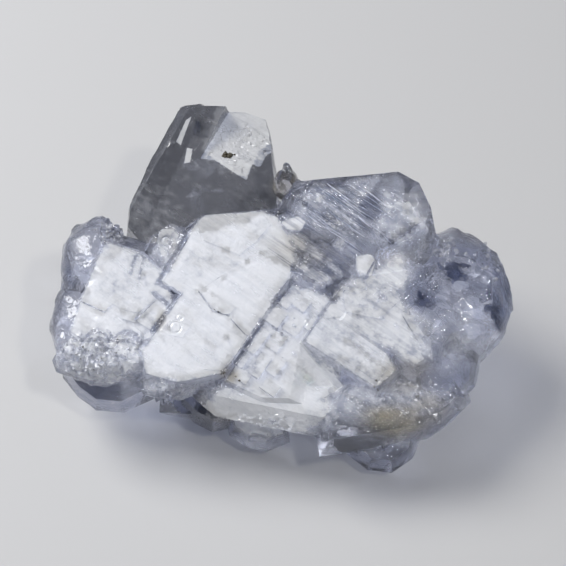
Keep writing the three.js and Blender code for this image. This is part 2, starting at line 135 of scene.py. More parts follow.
def cellNoise(points, size, seed):
    # the nearest of one seed point per cell: how far it is, the offset from it, and the cell it is in
    scaled = points / size
    cell = np.floor(scaled).astype(np.int64)
    nearest = np.full(len(points), np.inf)
    offset = np.zeros((len(points), 3))
    owner = np.zeros((len(points), 3), np.int64)
    for step in np.ndindex(3, 3, 3):
        home = cell + np.array(step) - 1
        place = home + columns(*[hashNoise(home, seed + k) for k in range(3)])
        away = scaled - place
        distance = np.linalg.norm(away, axis=1)
        closer = distance < nearest
        nearest[closer] = distance[closer]
        offset[closer] = away[closer]
        owner[closer] = home[closer]
    return nearest, offset, owner


blockJitter = 0.7  # how far the cuts between blocks wander, as a share of a block
blockShift = 3  # how far, at the most, each column is shifted along, in blocks


def blockNoise(along, across, alongSize, acrossSize, seed):
    # a wall of uneven blocks: columns across the axis, each cut into lengths of its own, one number a block
    def cutLine(position, size, lane, key):
        scaled = position / size
        cell = np.floor(scaled)
        start = cell + blockJitter * hashNoise(columns(cell, lane, lane * 0), key) - blockJitter / 2
        return np.where(scaled < start, cell - 1, cell)

    still = np.zeros(len(along))
    column = cutLine(across, acrossSize, still, seed)
    shift = blockShift * hashNoise(columns(column, still, still), seed + 1)
    row = cutLine(along + shift * alongSize, alongSize, column, seed + 2)
    return hashNoise(columns(column, row, still), seed + 3)


def lineDistance(flat, line):
    # how far each point is from an open line of straight pieces
    corners = np.array(line, float)
    nearest = np.full(len(flat), np.inf)
    for start, end in zip(corners[:-1], corners[1:]):
        run = end - start
        share = np.clip(((flat - start) @ run) / (run @ run), 0, 1)
        nearest = np.minimum(nearest, np.linalg.norm(flat - start - share[:, None] * run, axis=1))
    return nearest


def outlineDistance(flat, outline):
    # how far each point is inside a closed outline, in millimetres: below 0 outside it
    corners = np.array(outline, float)
    inside = np.zeros(len(flat), bool)
    for start, end in zip(corners, np.roll(corners, -1, 0)):
        run = end - start
        crosses = (start[1] > flat[:, 1]) != (end[1] > flat[:, 1])
        rise = run[1] if run[1] else np.inf
        inside ^= crosses & (flat[:, 0] < start[0] + run[0] * (flat[:, 1] - start[1]) / rise)
    nearest = lineDistance(flat, np.concatenate([corners, corners[:1]]))
    return np.where(inside, nearest, -nearest)


# Where the quartz is milky, as outlines on the flat faces.
mainOutline = [(-12, 9.8), (-10.8, 10.8), (-2.8, 11.5), (-0.6, 10.6), (1.8, 5.4), (1.1, 1.7), (-8, -11.7),
    (-14.3, -13), (-18.6, -11.7), (-19.2, -8.6), (-13.9, -0.6), (-16.4, 1.3)]
leftOutline = [(-24.7, 7.2), (-20.3, 5.9), (-15.5, 2.5), (-15, -3), (-17.5, -6.5), (-19, -7.2), (-20, -6.2),
    (-21.3, -5.8), (-22.6, -6.2), (-23.6, -7.2), (-24.4, -6.1), (-25.5, -5.5), (-26.6, -6.1),
    (-27.3, -7.3), (-29.2, -6.0), (-27.9, -1.3)]
fieldOutline = [(1.4, 1.1), (6.8, -1.2), (2.9, -7.1), (8.7, -13.3), (5.2, -15.2), (-2.8, -14.9),
    (-7.7, -12.6)]
stripOutline = [(2.9, -7.1), (6.8, -1.5), (12, -5), (15.7, -11.1), (13, -13.9)]
milkyOutline = [(8.5, 1.3), (12.9, 3.4), (16.6, 5.3), (18, 3), (17.4, -2), (21, -6), (20.4, -10.1),
    (17.9, -11.2), (12.8, -7.5), (6.9, -3.7), (6.8, -1.3)]
upperRightOutline = [(-3.4, 10.4), (0.4, 13.1), (2.1, 15.8), (16.3, 17.2), (19.2, 15.6), (20.8, 12),
    (21.3, 8.4), (17, -2), (6, -4), (1, 1.4)]
backOutline = [(-14.4, 31), (-6.2, 31), (-1.2, 29), (-0.4, 23.9), (0.6, 15.3), (-0.6, 9.5), (-9, 8.6),
    (-15, 7.6), (-18, 6.6), (-23.5, 10.9), (-22.5, 17), (-19.5, 23)]
chipOutline = [(-10.4, 25.4), (-9.2, 30), (-5.1, 30), (-1.2, 28.6), (-1.4, 24.4), (-3.4, 22.6),
    (-4.2, 20.4), (-5.1, 18.3), (-6.6, 18.8), (-9.4, 20.8), (-11.6, 22.6)]
thinFacet = [(-13.9, 27.0), (-13.1, 27.6), (-14.6, 23.2), (-15.3, 23.7)]
smallStep = [(-14.1, 20.4), (-13.2, 20.6), (-12.9, 22.6), (-13.7, 22.8)]
chipTip = [(-10.2, 21.3), (-3.9, 21.5), (-4.4, 19.9), (-5.1, 17.9), (-6.6, 18.8)]
striatedOutline = [(-2.4, 8.4), (0.6, 11), (8.8, 2.2), (5.4, 0.4), (1.5, 2.2)]
# How white each outline is, how soft its edge is, how far down it goes, how much it breaks up into blocks.
whiteZones = [
    (0.95, 0.2, -12.0, 0, thinFacet),
    (0.95, 0.2, -12.0, 0, smallStep),
    (0.58, 0.9, -3.0, 0.1, striatedOutline),
    (0.97, 0.6, -2.4, 0.05, mainOutline),
    (0.92, 0.5, -2.4, 0.15, leftOutline),
    (0.98, 0.6, -3.0, 0.1, fieldOutline),
    (0.86, 0.6, -3.0, 0.1, stripOutline),
    (0.78, 1.8, -3.0, 0.16, milkyOutline),
    (0.6, 1.2, -3.0, 0.1, [(7.4, -1), (9, 1.4), (13, 1.6), (16, -4), (19, -9), (17, -11), (12.8, -7.5)]),
    (0.34, 0.6, -3.0, 0.3, upperRightOutline),
    (0.62, 2.2, -3.0, 0.2, [(14, 15), (19, 14), (21, 9), (16, 6), (12, 8)]),
    (0.5, 1.6, -3.0, 0.1, [(1.2, 14.5), (12, 15.5), (13, 11), (7, 8), (2, 10)]),
    (1.0, 0.25, -12.0, 0, chipOutline),
    (0.97, 0.2, -3.0, 0, [(-2.8, -1.4), (0.2, -1.6), (0, -8.6), (-2.8, -8.4)]),
    (0.97, 0.2, -3.0, 0, [(-2.6, -9), (0.4, -8.8), (0.2, -15), (-2.8, -14.6)]),
    (1.0, 0.15, -3.0, 0, [(-0.3, 9.7), (2.2, 10.6), (3.3, 9.7), (2.5, 8.4), (0.7, 8.6)]),
    (0.8, 0.4, -3.0, 0, [(10.3, 4.9), (12.4, 5.1), (13.1, 4), (12.4, 2), (10.8, 1.7), (10.2, 3.1)]),
    (0.95, 0.15, -6.0, 0, [(5.9, -10.9), (7.2, -11.4), (6.9, -13.4), (5.4, -13.1)]),
]
# From here on, rounded parts are ellipsoids in the plate frame: their middle, their reach and their share.
whiteParts = [
    ((-1.5, -16, -4), (12, 5, 8), 0.92),
    ((-24.5, -9, -2), (9, 5, 6), 0.7),
    ((-15.8, 7, -1.5), (3, 4, 3), 0.6),
    ((-15.5, -12.6, -2.4), (5, 3, 3), 0.62),
    ((22.5, -7, -4), (6, 5, 6), 0.4),
    ((4.8, -10.8, -1.6), (4.5, 4.5, 3.5), 0.6),
    ((14, -15.5, -3), (11, 4, 5), 0.5),
    ((-19.5, 12.5, -8), (5.5, 6, 6), 0.52),
    ((-7, 23.6, -8), (5.6, 5.4, 4), 0.98),
    ((-24.3, -11.9, -8.6), (1.9, 0.5, 1.5), 0.95),
]
# Painted shade in the grooves between the crystals: how dark, how wide to each side, and their path.
paintedShadeLines = [
    (0.66, 0.75, [(-13.4, 7.6), (-15.4, 4.2), (-17.2, 1.1)]),
    (0.6, 0.4, [(-17.2, 1.1), (-14.2, -0.7), (-15.4, -2.3)]),
    (0.64, 0.75, [(-17.7, -0.3), (-15.4, -2.3)]),
    (0.78, 0.7, [(-15.3, -2.2), (-16, -3.2), (-17.7, -5.7)]),
    (0.5, 0.36, [(1.4, 1.4), (-7.9, -12)]),
    (0.3, 0.3, [(6.9, -1.4), (2.8, -7.3), (8.4, -14)]),
    (0.35, 0.3, [(6.8, -3.7), (12.8, -7.6), (17.9, -11.3)]),
    (0.25, 0.7, [(-24.9, 7.2), (-28.3, -1.3), (-29.4, -5.6)]),
    (0.55, 0.42, [(-20.4, 5.2), (-21, 2.4)]),
    (0.55, 0.36, [(-19.2, 4.8), (-19.8, 1.8)]),
    (0.4, 0.5, [(-19, -7), (-20, -6), (-21.3, -5.6), (-22.6, -6), (-23.6, -7)]),
    (0.4, 0.5, [(-23.6, -7), (-24.4, -5.9), (-25.5, -5.3), (-26.6, -5.9), (-27.3, -7)]),
]
# Painted shade: darker patches in the clear parts and low on the rims, standing in for dark surroundings seen
# through the quartz and shade under the rims.
paintedShadeParts = [
    ((19.2, -0.6, 0), (4.2, 2.6, 2.5), 0.7),
    ((24.2, 3.8, -2), (3, 2.6, 3), 0.9),
    ((12.2, 11.8, 0), (2.4, 2.2, 2), 0.7),
    ((8.4, 13.2, 0), (3.2, 1.4, 2), 0.6),
    ((5.5, 11.2, 0), (3.4, 1.8, 2), 0.4),
    ((13.5, 6.5, 0), (3.2, 1.6, 2), 0.4),
    ((18.5, 3.6, -1), (2.6, 1.8, 2), 0.5),
    ((19.5, -7, -1), (2.4, 2.6, 2), 0.35),
    ((9.6, -5.6, 0), (2.4, 1.6, 2), 0.35),
    ((-3.6, 13.4, -8), (5.4, 5.4, 6), 0.7),
    ((30.5, -0.5, -4), (4.2, 7, 7), 1.0),
    ((26, -0.5, -4), (5, 8, 6), 0.75),
    ((-29.5, 2, -4), (2.6, 5, 5), 0.4),
    ((-12.0, 26.3, -8), (1.6, 2.4, 4), 0.9),
    ((-4.4, -10.4, 0), (1.6, 2.4, 2), 0.35),
    ((1.8, 0.2, 0), (2.2, 1.3, 2), 0.5),
    ((-24.4, -12.6, -9), (7.5, 4.5, 4), 0.75),
    ((27, 4, -3), (5, 4.5, 4), 0.5),
    ((17, -17.5, -3), (9, 3, 5), 0.4),
]
stainParts = [
    ((15.5, -18.2, -2), (6.5, 3.2, 5), 1.0),
    ((20, -16.5, -2), (4, 3, 5), 0.6),
    ((3, 6.0, 0), (6.0, 3.6, 2.5), 0.4),
    ((-7.2, -12, 0), (1.8, 1.6, 2), 0.7),
    ((0.7, 17.1, -5), (2.6, 2.6, 3), 0.8),
    ((16, 4.5, -1), (4, 1.8, 3), 0.35),
    ((-2, -2.5, 0), (5, 9, 2), 0.05),
    ((-16.6, -4.0, 0), (0.9, 2.2, 2), 0.45),
    ((-15.0, 5.4, 0), (1.0, 3.2, 2), 0.3),
    ((13, -1, 0), (9, 8, 3), 0.08),
    ((17, -12, -1), (6, 3, 3), 0.5),
    ((-10, -16, -7), (6, 3.5, 5), 0.4),
]
# Where lines across the long axis show: how strongly, how soft the edge is, and the outline.
linedZones = [
    (1.0, 1.2, [(2, 15), (12, 16), (14, 9), (8.5, 1.6), (1.5, 1.8), (-2.6, 7.6)]),
    (0.45, 1.2, [(12, 16), (19, 14), (20, 6), (14, 5)]),
    (0.22, 0.8, mainOutline),
    (0.6, 2.0, milkyOutline),
    (0.5, 1.0, stripOutline),
    (0.35, 2.0, backOutline),
]
whiteShape = {"blocks": (2.6, 1.8), "facing": (0.1, 0.7), "stretch": (0.9, 0.2, 0.5), "streak": 1.2,
              "cloudSize": 3.2, "cloud": 0.5, "darkened": 0.75}
# How the painted shade falls off its lines and breaks up into clouds.
paintedShadeShape = {"core": 0.3, "lowest": -3, "least": 0.7, "uneven": 0.5, "cloudSize": 1.4}
stainShape = {"core": 0.3, "least": 0.55, "uneven": 0.6, "cloudSize": 2.2}


def partDistance(plate, at, reach):
    # how far each point is from an ellipsoid's middle: 1 on its surface
    return np.linalg.norm((plate - np.array(at)) / np.array(reach), axis=1)


def partShare(plate, parts, outer=1.15, inner=0.45):
    # the strongest of several ellipsoids: full inside, fading out near the rim
    most = np.zeros(len(plate))
    for at, reach, share in parts:
        most = np.maximum(most, share * smoothStep(outer, inner, partDistance(plate, at, reach)))
    return most


def whiteness(plate, facing):
    # the strongest zone on faces that look out of the plates, the rounded parts, less where shade is painted
    flat = plate[:, :2]
    along, across = flat @ alongAxis, flat @ acrossAxis
    most = np.zeros(len(flat))
    block = blockNoise(along, across, *whiteShape["blocks"], 70)
    for zoneShare, soft, deep, blocks, outline in whiteZones:
        share = (zoneShare - blocks * block) * smoothStep(-soft, soft, outlineDistance(flat, outline))
        most = np.maximum(most, share * (plate[:, 2] > deep))
    most *= smoothStep(*whiteShape["facing"], facing)
    most = np.maximum(most, partShare(plate, whiteParts))
    drawnOut = columns(along, across, plate[:, 2]) * np.array(whiteShape["stretch"])
    streaks = cloudNoise(drawnOut, 1.0, 80, 4) - 0.5
    clouds = cloudNoise(plate, whiteShape["cloudSize"], 90, 4) - 0.5
    most += most * (whiteShape["streak"] * streaks * lineShare(plate) + whiteShape["cloud"] * clouds)
    most *= 1 - whiteShape["darkened"] * paintedShade(plate)
    return np.clip(most, 0, 1)


def lineShare(plate, least=0.2):
    most = np.full(len(plate), least)
    for share, soft, outline in linedZones:
        most = np.maximum(most, share * smoothStep(-soft, soft, outlineDistance(plate[:, :2], outline)))
    return most


def paintedShade(plate):
    # painted shade: the strongest of the dark ellipsoids and groove lines, made uneven by clouds
    most = partShare(plate, paintedShadeParts)
    for share, reach, line in paintedShadeLines:
        near = smoothStep(reach, paintedShadeShape["core"] * reach, lineDistance(plate[:, :2], line))
        most = np.maximum(most, share * near * (plate[:, 2] > paintedShadeShape["lowest"]))
    return most * (paintedShadeShape["least"] + paintedShadeShape["uneven"] * cloudNoise(plate, paintedShadeShape["cloudSize"], 110))


def stain(plate):
    uneven = stainShape["least"] + stainShape["uneven"] * cloudNoise(plate, stainShape["cloudSize"], 400)
    return partShare(plate, stainParts, inner=stainShape["core"]) * uneven


bodyShape = {
    "frontEdge": 0.52,  # longest edge where the flat faces are
    "sideEdge": 0.8,
    "underEdge": 1.2,
    "frontDepth": -2.6,
    "sideDepth": -9.0,
    "mergeDistance": 0.002,
    "flatAngle": 0.4,  # faces within this angle are joined before they are cut up afresh
    "sharpAngle": 28.0,
    "ridgeAngle": 40.0,  # edges sharper than this stay where parts are rounded
    "roundTurns": 14,
    "roundStep": 0.5,
    "roundFade": (1.08, 0.92),  # rounding sets in between these distances from a part's middle
    "grounded": (0.1, 0.8),  # heights above the ground over which relief and rounding set in
}
# Rough parts: middle, reach, longest edge, how broken the ground is, how crowded small crystals stand on it.
roughParts = [
    ((-25, -8.6, -2), (7, 3.6, 4), 0.3, 0.75, 0.5),
    ((-6.4, 23.4, -7.8), (6.4, 6.8, 3.6), 0.34, 0.32, 0),
    ((-24.6, 8.4, -2.4), (2.4, 2.2, 3), 0.32, 0.9, 1.0),
    ((22.5, 6, -2.4), (2.6, 2.4, 3), 0.34, 0.8, 0.8),
    ((-15.4, -12.8, -1.6), (5, 2.2, 2.0), 0.36, 0.5, 0.15),
    ((0, -17.4, -4.5), (10, 2.6, 3), 0.42, 0.55, 0.1),
    ((18, -15, -2.5), (7, 3.4, 3), 0.42, 0.45, 0.25),
    ((16, 0, 0), (8, 8, 2.5), 0.5, 0.1, 0.05),
    ((26.5, 3.4, -3), (5, 5, 4), 0.42, 0.3, 0.12),
    ((-14, 23.8, -6.5), (2.2, 5, 2), 0.17, 0, 0),
    ((-1, -6, 0), (4, 7, 2.5), 0.42, 0.06, 0.04),
]


def edgeKeys(faces, count):
    # one number for each edge of each face, the same from both of its faces
    after = np.roll(faces, -1, 1)
    return (np.minimum(faces, after).astype(np.int64) * count + np.maximum(faces, after)).ravel()


def splitLongEdges(points, faces, longest):
    # every edge over the length allowed there is cut at its middle, and each face by which of its edges were
    while True:
        count = len(points)
        keys, inverse = np.unique(edgeKeys(faces, count), return_inverse=True)
        low, high = points[keys // count], points[keys % count]
        middle = (low + high) / 2
        cut = np.linalg.norm(low - high, axis=1) > longest(middle)
        if not cut.any():
            return points, faces
        added = np.full(len(keys), -1)
        added[cut] = count + np.arange(cut.sum())
        points = np.concatenate([points, middle[cut]])
        middles = added[inverse].reshape(-1, 3)
        cuts = (middles >= 0).sum(1)
        pieces = [faces[cuts == 0]]
        # one edge cut: turn the face until it is the first edge
        (a, b, c), (ab, bc, ca) = turnFaces(faces, middles, cuts == 1, np.argmax(middles >= 0, 1))
        pieces += [columns(a, ab, c), columns(ab, b, c)]
        # two cut: the whole edge comes last, and the shorter diagonal parts what is left
        (a, b, c), (ab, bc, ca) = turnFaces(faces, middles, cuts == 2, np.argmax(middles < 0, 1) + 1)
        first, other = points[a] - points[bc], points[ab] - points[c]
        short = np.linalg.norm(first, axis=1) < np.linalg.norm(other, axis=1)
        pieces += [columns(ab, b, bc), columns(a, ab, bc)[short], columns(a, bc, c)[short],
                   columns(a, ab, c)[~short], columns(ab, bc, c)[~short]]
        (a, b, c), (ab, bc, ca) = faces[cuts == 3].T, middles[cuts == 3].T
        pieces += [columns(a, ab, ca), columns(ab, b, bc), columns(ca, bc, c), columns(ab, bc, ca)]
        faces = np.concatenate(pieces)


def turnFaces(faces, middles, chosen, first):
    # the chosen faces' corners and edge middles, each turned to begin at its first
    order = (np.arange(3)[None] + first[chosen][:, None]) % 3
    return np.take_along_axis(faces[chosen], order, 1).T, np.take_along_axis(middles[chosen], order, 1).T


def mergedNode(name):
    # the node's loose triangles merged into one closed mesh, flat regions joined and cut up afresh
    mesh = bmesh.new()
    mesh.from_mesh(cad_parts[name].data)
    bmesh.ops.remove_doubles(mesh, verts=mesh.verts, dist=bodyShape["mergeDistance"] * millimetre)
    bmesh.ops.dissolve_limit(mesh, angle_limit=np.radians(bodyShape["flatAngle"]), verts=mesh.verts,
                             edges=mesh.edges)
    bmesh.ops.triangulate(mesh, faces=mesh.faces, ngon_method="BEAUTY")
    mesh.verts.index_update()
    points = np.array([v.co[:] for v in mesh.verts]) / millimetre
    faces = np.array([[v.index for v in f.verts] for f in mesh.faces])
    mesh.free()
    return points, faces


def faceNormals(points, faces):
    # each as long as twice the face's area
    a, b, c = points[faces[:, 0]], points[faces[:, 1]], points[faces[:, 2]]
    return np.cross(b - a, c - a)


def addUp(index, values, count):
    # the sum of the rows of values that share an index
    return columns(*[np.bincount(index, part, count) for part in values.T])


def vertexNormals(points, faces):
    # each vertex takes the sum of its faces' normals, weighed by their areas
    return unit(addUp(faces.ravel(), np.repeat(faceNormals(points, faces), 3, 0), len(points)))


def edgePairs(faces, count):
    # every edge with the two faces on it
    keys = edgeKeys(faces, count)
    order = np.argsort(keys, kind="stable")
    keys = keys[order].reshape(-1, 2)[:, 0]
    owners = (order // 3).reshape(-1, 2)
    return columns(keys // count, keys % count), owners


def neighbourMean(points, edges):
    # the middle of each vertex's neighbours along the given edges, and how many it has
    both = np.concatenate([edges, edges[:, ::-1]])
    near = np.bincount(both[:, 0], minlength=len(points))
    return addUp(both[:, 0], points[both[:, 1]], len(points)) / np.maximum(near, 1)[:, None], near


def rounded(points, faces, share):
    # each vertex moves towards the middle of its neighbours by its share, and not across a sharp edge
    edges, owners = edgePairs(faces, len(points))
    normals = unit(faceNormals(points, faces))
    bend = (normals[owners[:, 0]] * normals[owners[:, 1]]).sum(1)
    sharp = bend < np.cos(np.radians(bodyShape["ridgeAngle"]))
    onSharp = np.bincount(edges[sharp].ravel(), minlength=len(points)) > 0
    for turn in range(bodyShape["roundTurns"]):
        mean = neighbourMean(points, edges)[0]
        ridge, nearSharp = neighbourMean(points, edges[sharp])
        goal = np.where(onSharp[:, None], np.where((nearSharp == 2)[:, None], ridge, points), mean)
        points = points + bodyShape["roundStep"] * share[:, None] * (goal - points)
    return points


# Small round pits: middle in the plate frame, radius and depth of the ring.
pitRings = [
    ((-14.6, -5.3), 0.75, 0.12),
    ((-14.1, -3.9), 0.4, 0.08),
    ((-16.1, 7.2), 0.7, 0.14),
    ((-0.7, -1.9), 0.6, 0.12),
    ((-9.6, -13), 0.5, 0.12),
]
pitReach = {"edge": 0.16, "beyond": 0.7, "width": 0.13, "lowest": -2.0}

# Rounded parts of the rim.
roundParts = [
    ((-26.3, 4.4, -4.6), (5.8, 8.4, 5.2), 1),
    ((-28, -3.8, -4.4), (5.4, 7.4, 4.6), 1),
    ((24.1, -0.3, -4.6), (8.9, 11.4, 6), 1),
    ((25, 0.6, -8), (8.4, 9.6, 5.4), 1),
    ((21, -8.4, -5.2), (7.7, 9, 5.4), 1),
    ((-15.4, -12.4, -2.8), (5.2, 3.4, 3.2), 1),
    ((-25, -9.1, -3.6), (7.6, 4.4, 4.4), 1),
    ((0.7, 17.1, -5.4), (2.6, 3, 3), 1),
]


def longestEdge(points):
    plate = toPlate(points)
    allowed = np.where(plate[:, 2] > bodyShape["frontDepth"], bodyShape["frontEdge"],
                       np.where(plate[:, 2] > bodyShape["sideDepth"], bodyShape["sideEdge"],
                                bodyShape["underEdge"]))
    for at, reach, edge, broken, drusy in roughParts:
        allowed = np.where(partDistance(plate, at, reach) < 1, np.minimum(allowed, edge), allowed)
    for at, radius, depth in pitRings:
        away = np.linalg.norm(plate[:, :2] - np.array(at), axis=1)
        near = (away < radius + pitReach["beyond"]) & (plate[:, 2] > pitReach["lowest"])
        allowed = np.where(near, np.minimum(allowed, pitReach["edge"]), allowed)
    return allowed


# Heights of the relief in millimetres, and the sizes of what it is made of.
reliefShape = {
    "flatFrom": 0.86, "flatTo": 0.97,  # how squarely a face that counts as flat looks out of the plates
    "block": 0.06, "blockSizes": (3.4, 2.6), "whiteEven": 0.6,
    "swell": 0.12, "swellSize": 6.0,
    "strand": 0.14, "strandSizes": (0.55, 5), "lined": (0.5, 1.0),
    "knob": 0.34, "knobSize": 2.4, "knobLevel": 0.35,
    "cragSize": 1.1, "fineCrag": 0.6, "fineSize": 0.55, "cragStep": 0.4, "cragFade": (1.0, 0.6),
    "hillock": 0.2, "hillockSize": 2.6,
    "sideBlock": 0.08, "sideSizes": (1.3, 1.6),
}


def crag(plate, size, seed):
    # broken ground: each cell of space is one slanted flat piece, its height a plane through its own point
    offset, owner = cellNoise(plate, size, seed)[1:]
    step = reliefShape["cragStep"] * size * (hashNoise(owner, seed + 11) - 0.5)
    slant = columns(*[hashNoise(owner, seed + 7 + k) for k in range(3)]) - 0.5
    return (offset * slant).sum(1) * size + step


def bodyRelief(plate, normals, white, roundPart):
    # height in millimetres to move each vertex along its normal
    look = reliefShape
    along, across = plate[:, :2] @ alongAxis, plate[:, :2] @ acrossAxis
    flat = smoothStep(look["flatFrom"], look["flatTo"], normals @ plateNormal) * (1 - roundPart)
    # flat faces lie a little uneven, in low blocks and long swells
    block = blockNoise(along, across, *look["blockSizes"], 10) - 0.5
    height = flat * look["block"] * block * (1 - look["whiteEven"] * white)
    height += flat * look["swell"] * (cloudNoise(plate, look["swellSize"], 14) - 0.5)
    alongSize, acrossSize = look["strandSizes"]
    strands = smoothNoise(columns(along / alongSize, across / acrossSize, plate[:, 2] * 0), 1.0, 17) - 0.5
    height += flat * look["strand"] * strands * smoothStep(*look["lined"], lineShare(plate))
    for at, radius, depth in pitRings:
        away = np.linalg.norm(plate[:, :2] - np.array(at), axis=1)
        line = np.exp(-((away - radius) / pitReach["width"]) ** 2)
        height -= depth * line * (plate[:, 2] > pitReach["lowest"])
    # knobs on the rounded rim, crags on the rough parts
    distance = cellNoise(plate, look["knobSize"], 20)[0]
    height += roundPart * look["knob"] * (look["knobLevel"] - distance * distance)
    parts = [(at, reach, broken) for at, reach, edge, broken, drusy in roughParts]
    rough = partShare(plate, parts, *look["cragFade"])
    height += (rough * crag(plate, look["cragSize"], 24)
               + look["fineCrag"] * rough * crag(plate, look["fineSize"], 26))
    # growth hillocks on faces that look sideways and down
    side = (1 - flat) * (1 - roundPart)
    height += side * look["hillock"] * (cloudNoise(plate, look["hillockSize"], 30) - 0.5)
    height += side * look["sideBlock"] * (blockNoise(along, plate[:, 2], *look["sideSizes"], 33) - 0.5)
    return height


def addObject(name, data):
    made = bpy.data.objects.new(name, data)
    bpy.context.scene.collection.objects.link(made)
    return made


def putMesh(name, points, faces, materials, attributes=None, faceSlots=None, sharp=None):
    mesh = bpy.data.meshes.new(name)
    mesh.from_pydata((points * millimetre).tolist(), [], faces.tolist())
    for key, values in (attributes or {}).items():
        layer = mesh.attributes.new(key, "FLOAT", "POINT")
        layer.data.foreach_set("value", values.astype(np.float32))
    for material in materials:
        mesh.materials.append(material)
    if faceSlots is not None:
        mesh.polygons.foreach_set("material_index", faceSlots.astype(np.int32))
    mesh.polygons.foreach_set("use_smooth", np.ones(len(faces), bool))
    if sharp is not None:
        mesh.set_sharp_from_angle(angle=np.radians(sharp))
    mesh.update()
    made = addObject(name, mesh)
    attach(made, bodyName)
    return made


def addNode(tree, kind, settings=None, **sockets):
    # a socket is given by its name, or by i and its number where names repeat
    node = tree.nodes.new("ShaderNode" + kind)
    for key, value in (settings or {}).items():
        setattr(node, key, value)
    for key, value in sockets.items():
        socket = node.inputs[int(key[1:])] if key[0] == "i" and key[1:].isdigit() else node.inputs[key]
        if isinstance(value, bpy.types.NodeSocket):
            tree.links.new(value, socket)
        else:
            socket.default_value = value
    return node


def newGroup(name, inputs, outputs):
    # a node group of plain values: its inputs with their usual values, and its outputs
    tree = bpy.data.node_groups.new(name, "ShaderNodeTree")
    for label, value in inputs.items():
        tree.interface.new_socket(label, in_out="INPUT", socket_type="NodeSocketFloat").default_value = value
    for label in outputs:
        tree.interface.new_socket(label, in_out="OUTPUT", socket_type="NodeSocketFloat")
    return tree, tree.nodes.new("NodeGroupInput").outputs, tree.nodes.new("NodeGroupOutput").inputs


# Object coordinates in millimetres, turned so that X runs along the crystals and Z into the plates.
axisRows = np.stack([
    alongAxis @ plateRows[:2],
    acrossAxis @ plateRows[:2],
    -plateRows[2],
])
axisEuler = Matrix(axisRows.tolist()).to_euler("XYZ")


def axisVector(tree):
    place = addNode(tree, "TexCoord")
    turned = addNode(tree, "Mapping", i0=place.outputs["Object"], Rotation=axisEuler,
                     Scale=(1 / millimetre,) * 3)
    return turned.outputs[0]


def stretched(tree, vector, scale):
    # X, Y and Z each multiplied by a number of its own
    return addNode(tree, "VectorMath", {"operation": "MULTIPLY"}, i0=vector, i1=scale).outputs[0]


def mathNode(tree, operation, first, second):
    return addNode(tree, "Math", {"operation": operation}, i0=first, i1=second).outputs[0]


def times(tree, first, second):
    return mathNode(tree, "MULTIPLY", first, second)


def plus(tree, first, second):
    return mathNode(tree, "ADD", first, second)


def noiseNode(tree, vector, name):
    # a scale of three numbers stretches the vector, one number scales it
    scale, detail, roughness = noises[name]
    if not isinstance(scale, float):
        vector, scale = stretched(tree, vector, scale), 1.0
    return addNode(tree, "TexNoise", Vector=vector, Scale=scale, Detail=detail,
                   Roughness=roughness).outputs[0]


def rangeNode(tree, value, low, high, toLow=0.0, toHigh=1.0):
    return addNode(tree, "MapRange", {"interpolation_type": "SMOOTHSTEP"}, Value=value,
                   i1=low, i2=high, i3=toLow, i4=toHigh).outputs[0]


# Each noise: its scale along the crystals, across them and into the plates, its detail and roughness.
noises = {
    "line": ((2.8, 0.16, 0.5), 4.0, 0.65),
    "sway": (0.35, 3.0, 0.6),
    "grain": (2.4, 5.0, 0.65),
    "wideVeil": ((0.35, 0.12, 0.3), 4.0, 0.6),
    "fineVeil": ((1.4, 0.3, 1.0), 4.0, 0.6),
    "cloud": ((1.1, 0.8, 1.0), 6.0, 0.68),
    "strand": ((1.9, 0.09, 0.4), 5.0, 0.65),
    "patch": ((1.3, 0.5, 0.9), 5.0, 0.7),
    "rainbow": (0.6, 2.0, 0.5),
}
terraceLook = {"stretch": (0.24, 0.32, 0.3), "squares": 0.55, "sway": 0.9, "steps": 7.0}
coneScale = 1.9
veilShares = {"wide": 0.65, "fine": 0.35}


def growthLinesGroup():
    # height: fine lines across the long axis, nested square terraces cut level, a soft grain, and small cones
    tree, given, out = newGroup("growthLines", {"Lines": 1.0, "Terraces": 1.0, "Grain": 1.0, "Sparkle": 1.0},
                                ["Height"])
    vector = axisVector(tree)
    squares = addNode(tree, "TexVoronoi", {"distance": "CHEBYCHEV", "feature": "F1"},
                      Vector=stretched(tree, vector, terraceLook["stretch"]), Scale=1.0, Randomness=1.0)
    hill = plus(tree, times(tree, squares.outputs["Distance"], terraceLook["squares"]),
                times(tree, noiseNode(tree, vector, "sway"), terraceLook["sway"]))
    steps = mathNode(tree, "FLOOR", times(tree, hill, terraceLook["steps"]), 0.0)
    cones = addNode(tree, "TexVoronoi", {"feature": "F1"}, Vector=vector, Scale=coneScale,
                    Randomness=1.0)
    height = times(tree, noiseNode(tree, vector, "line"), given["Lines"])
    for part, strength in ((cones.outputs["Distance"], "Sparkle"),
                           (times(tree, steps, 1 / terraceLook["steps"]), "Terraces"),
                           (noiseNode(tree, vector, "grain"), "Grain")):
        height = plus(tree, height, times(tree, part, given[strength]))
    tree.links.new(height, out[0])
    return tree


def veilMaskGroup():
    # mask: clouds drawn out across the long axis, broken up by finer ones
    tree, given, out = newGroup("veilMask", {"Low": 0.4, "High": 0.65}, ["Mask"])
    vector = axisVector(tree)
    both = plus(tree, times(tree, noiseNode(tree, vector, "wideVeil"), veilShares["wide"]),
                times(tree, noiseNode(tree, vector, "fineVeil"), veilShares["fine"]))
    tree.links.new(rangeNode(tree, both, given["Low"], given["High"]), out[0])
    return tree


# How strongly clouds break up the white where there is none and where it is full, and patches the painted
# shade.
brokenLook = {"none": 3.4, "full": 0.8, "white": (0.1, 0.95), "streak": (0.52, 0.38), "patch": 2.2,
              "dark": (0.25, 0.75), "darkPower": 0.8}


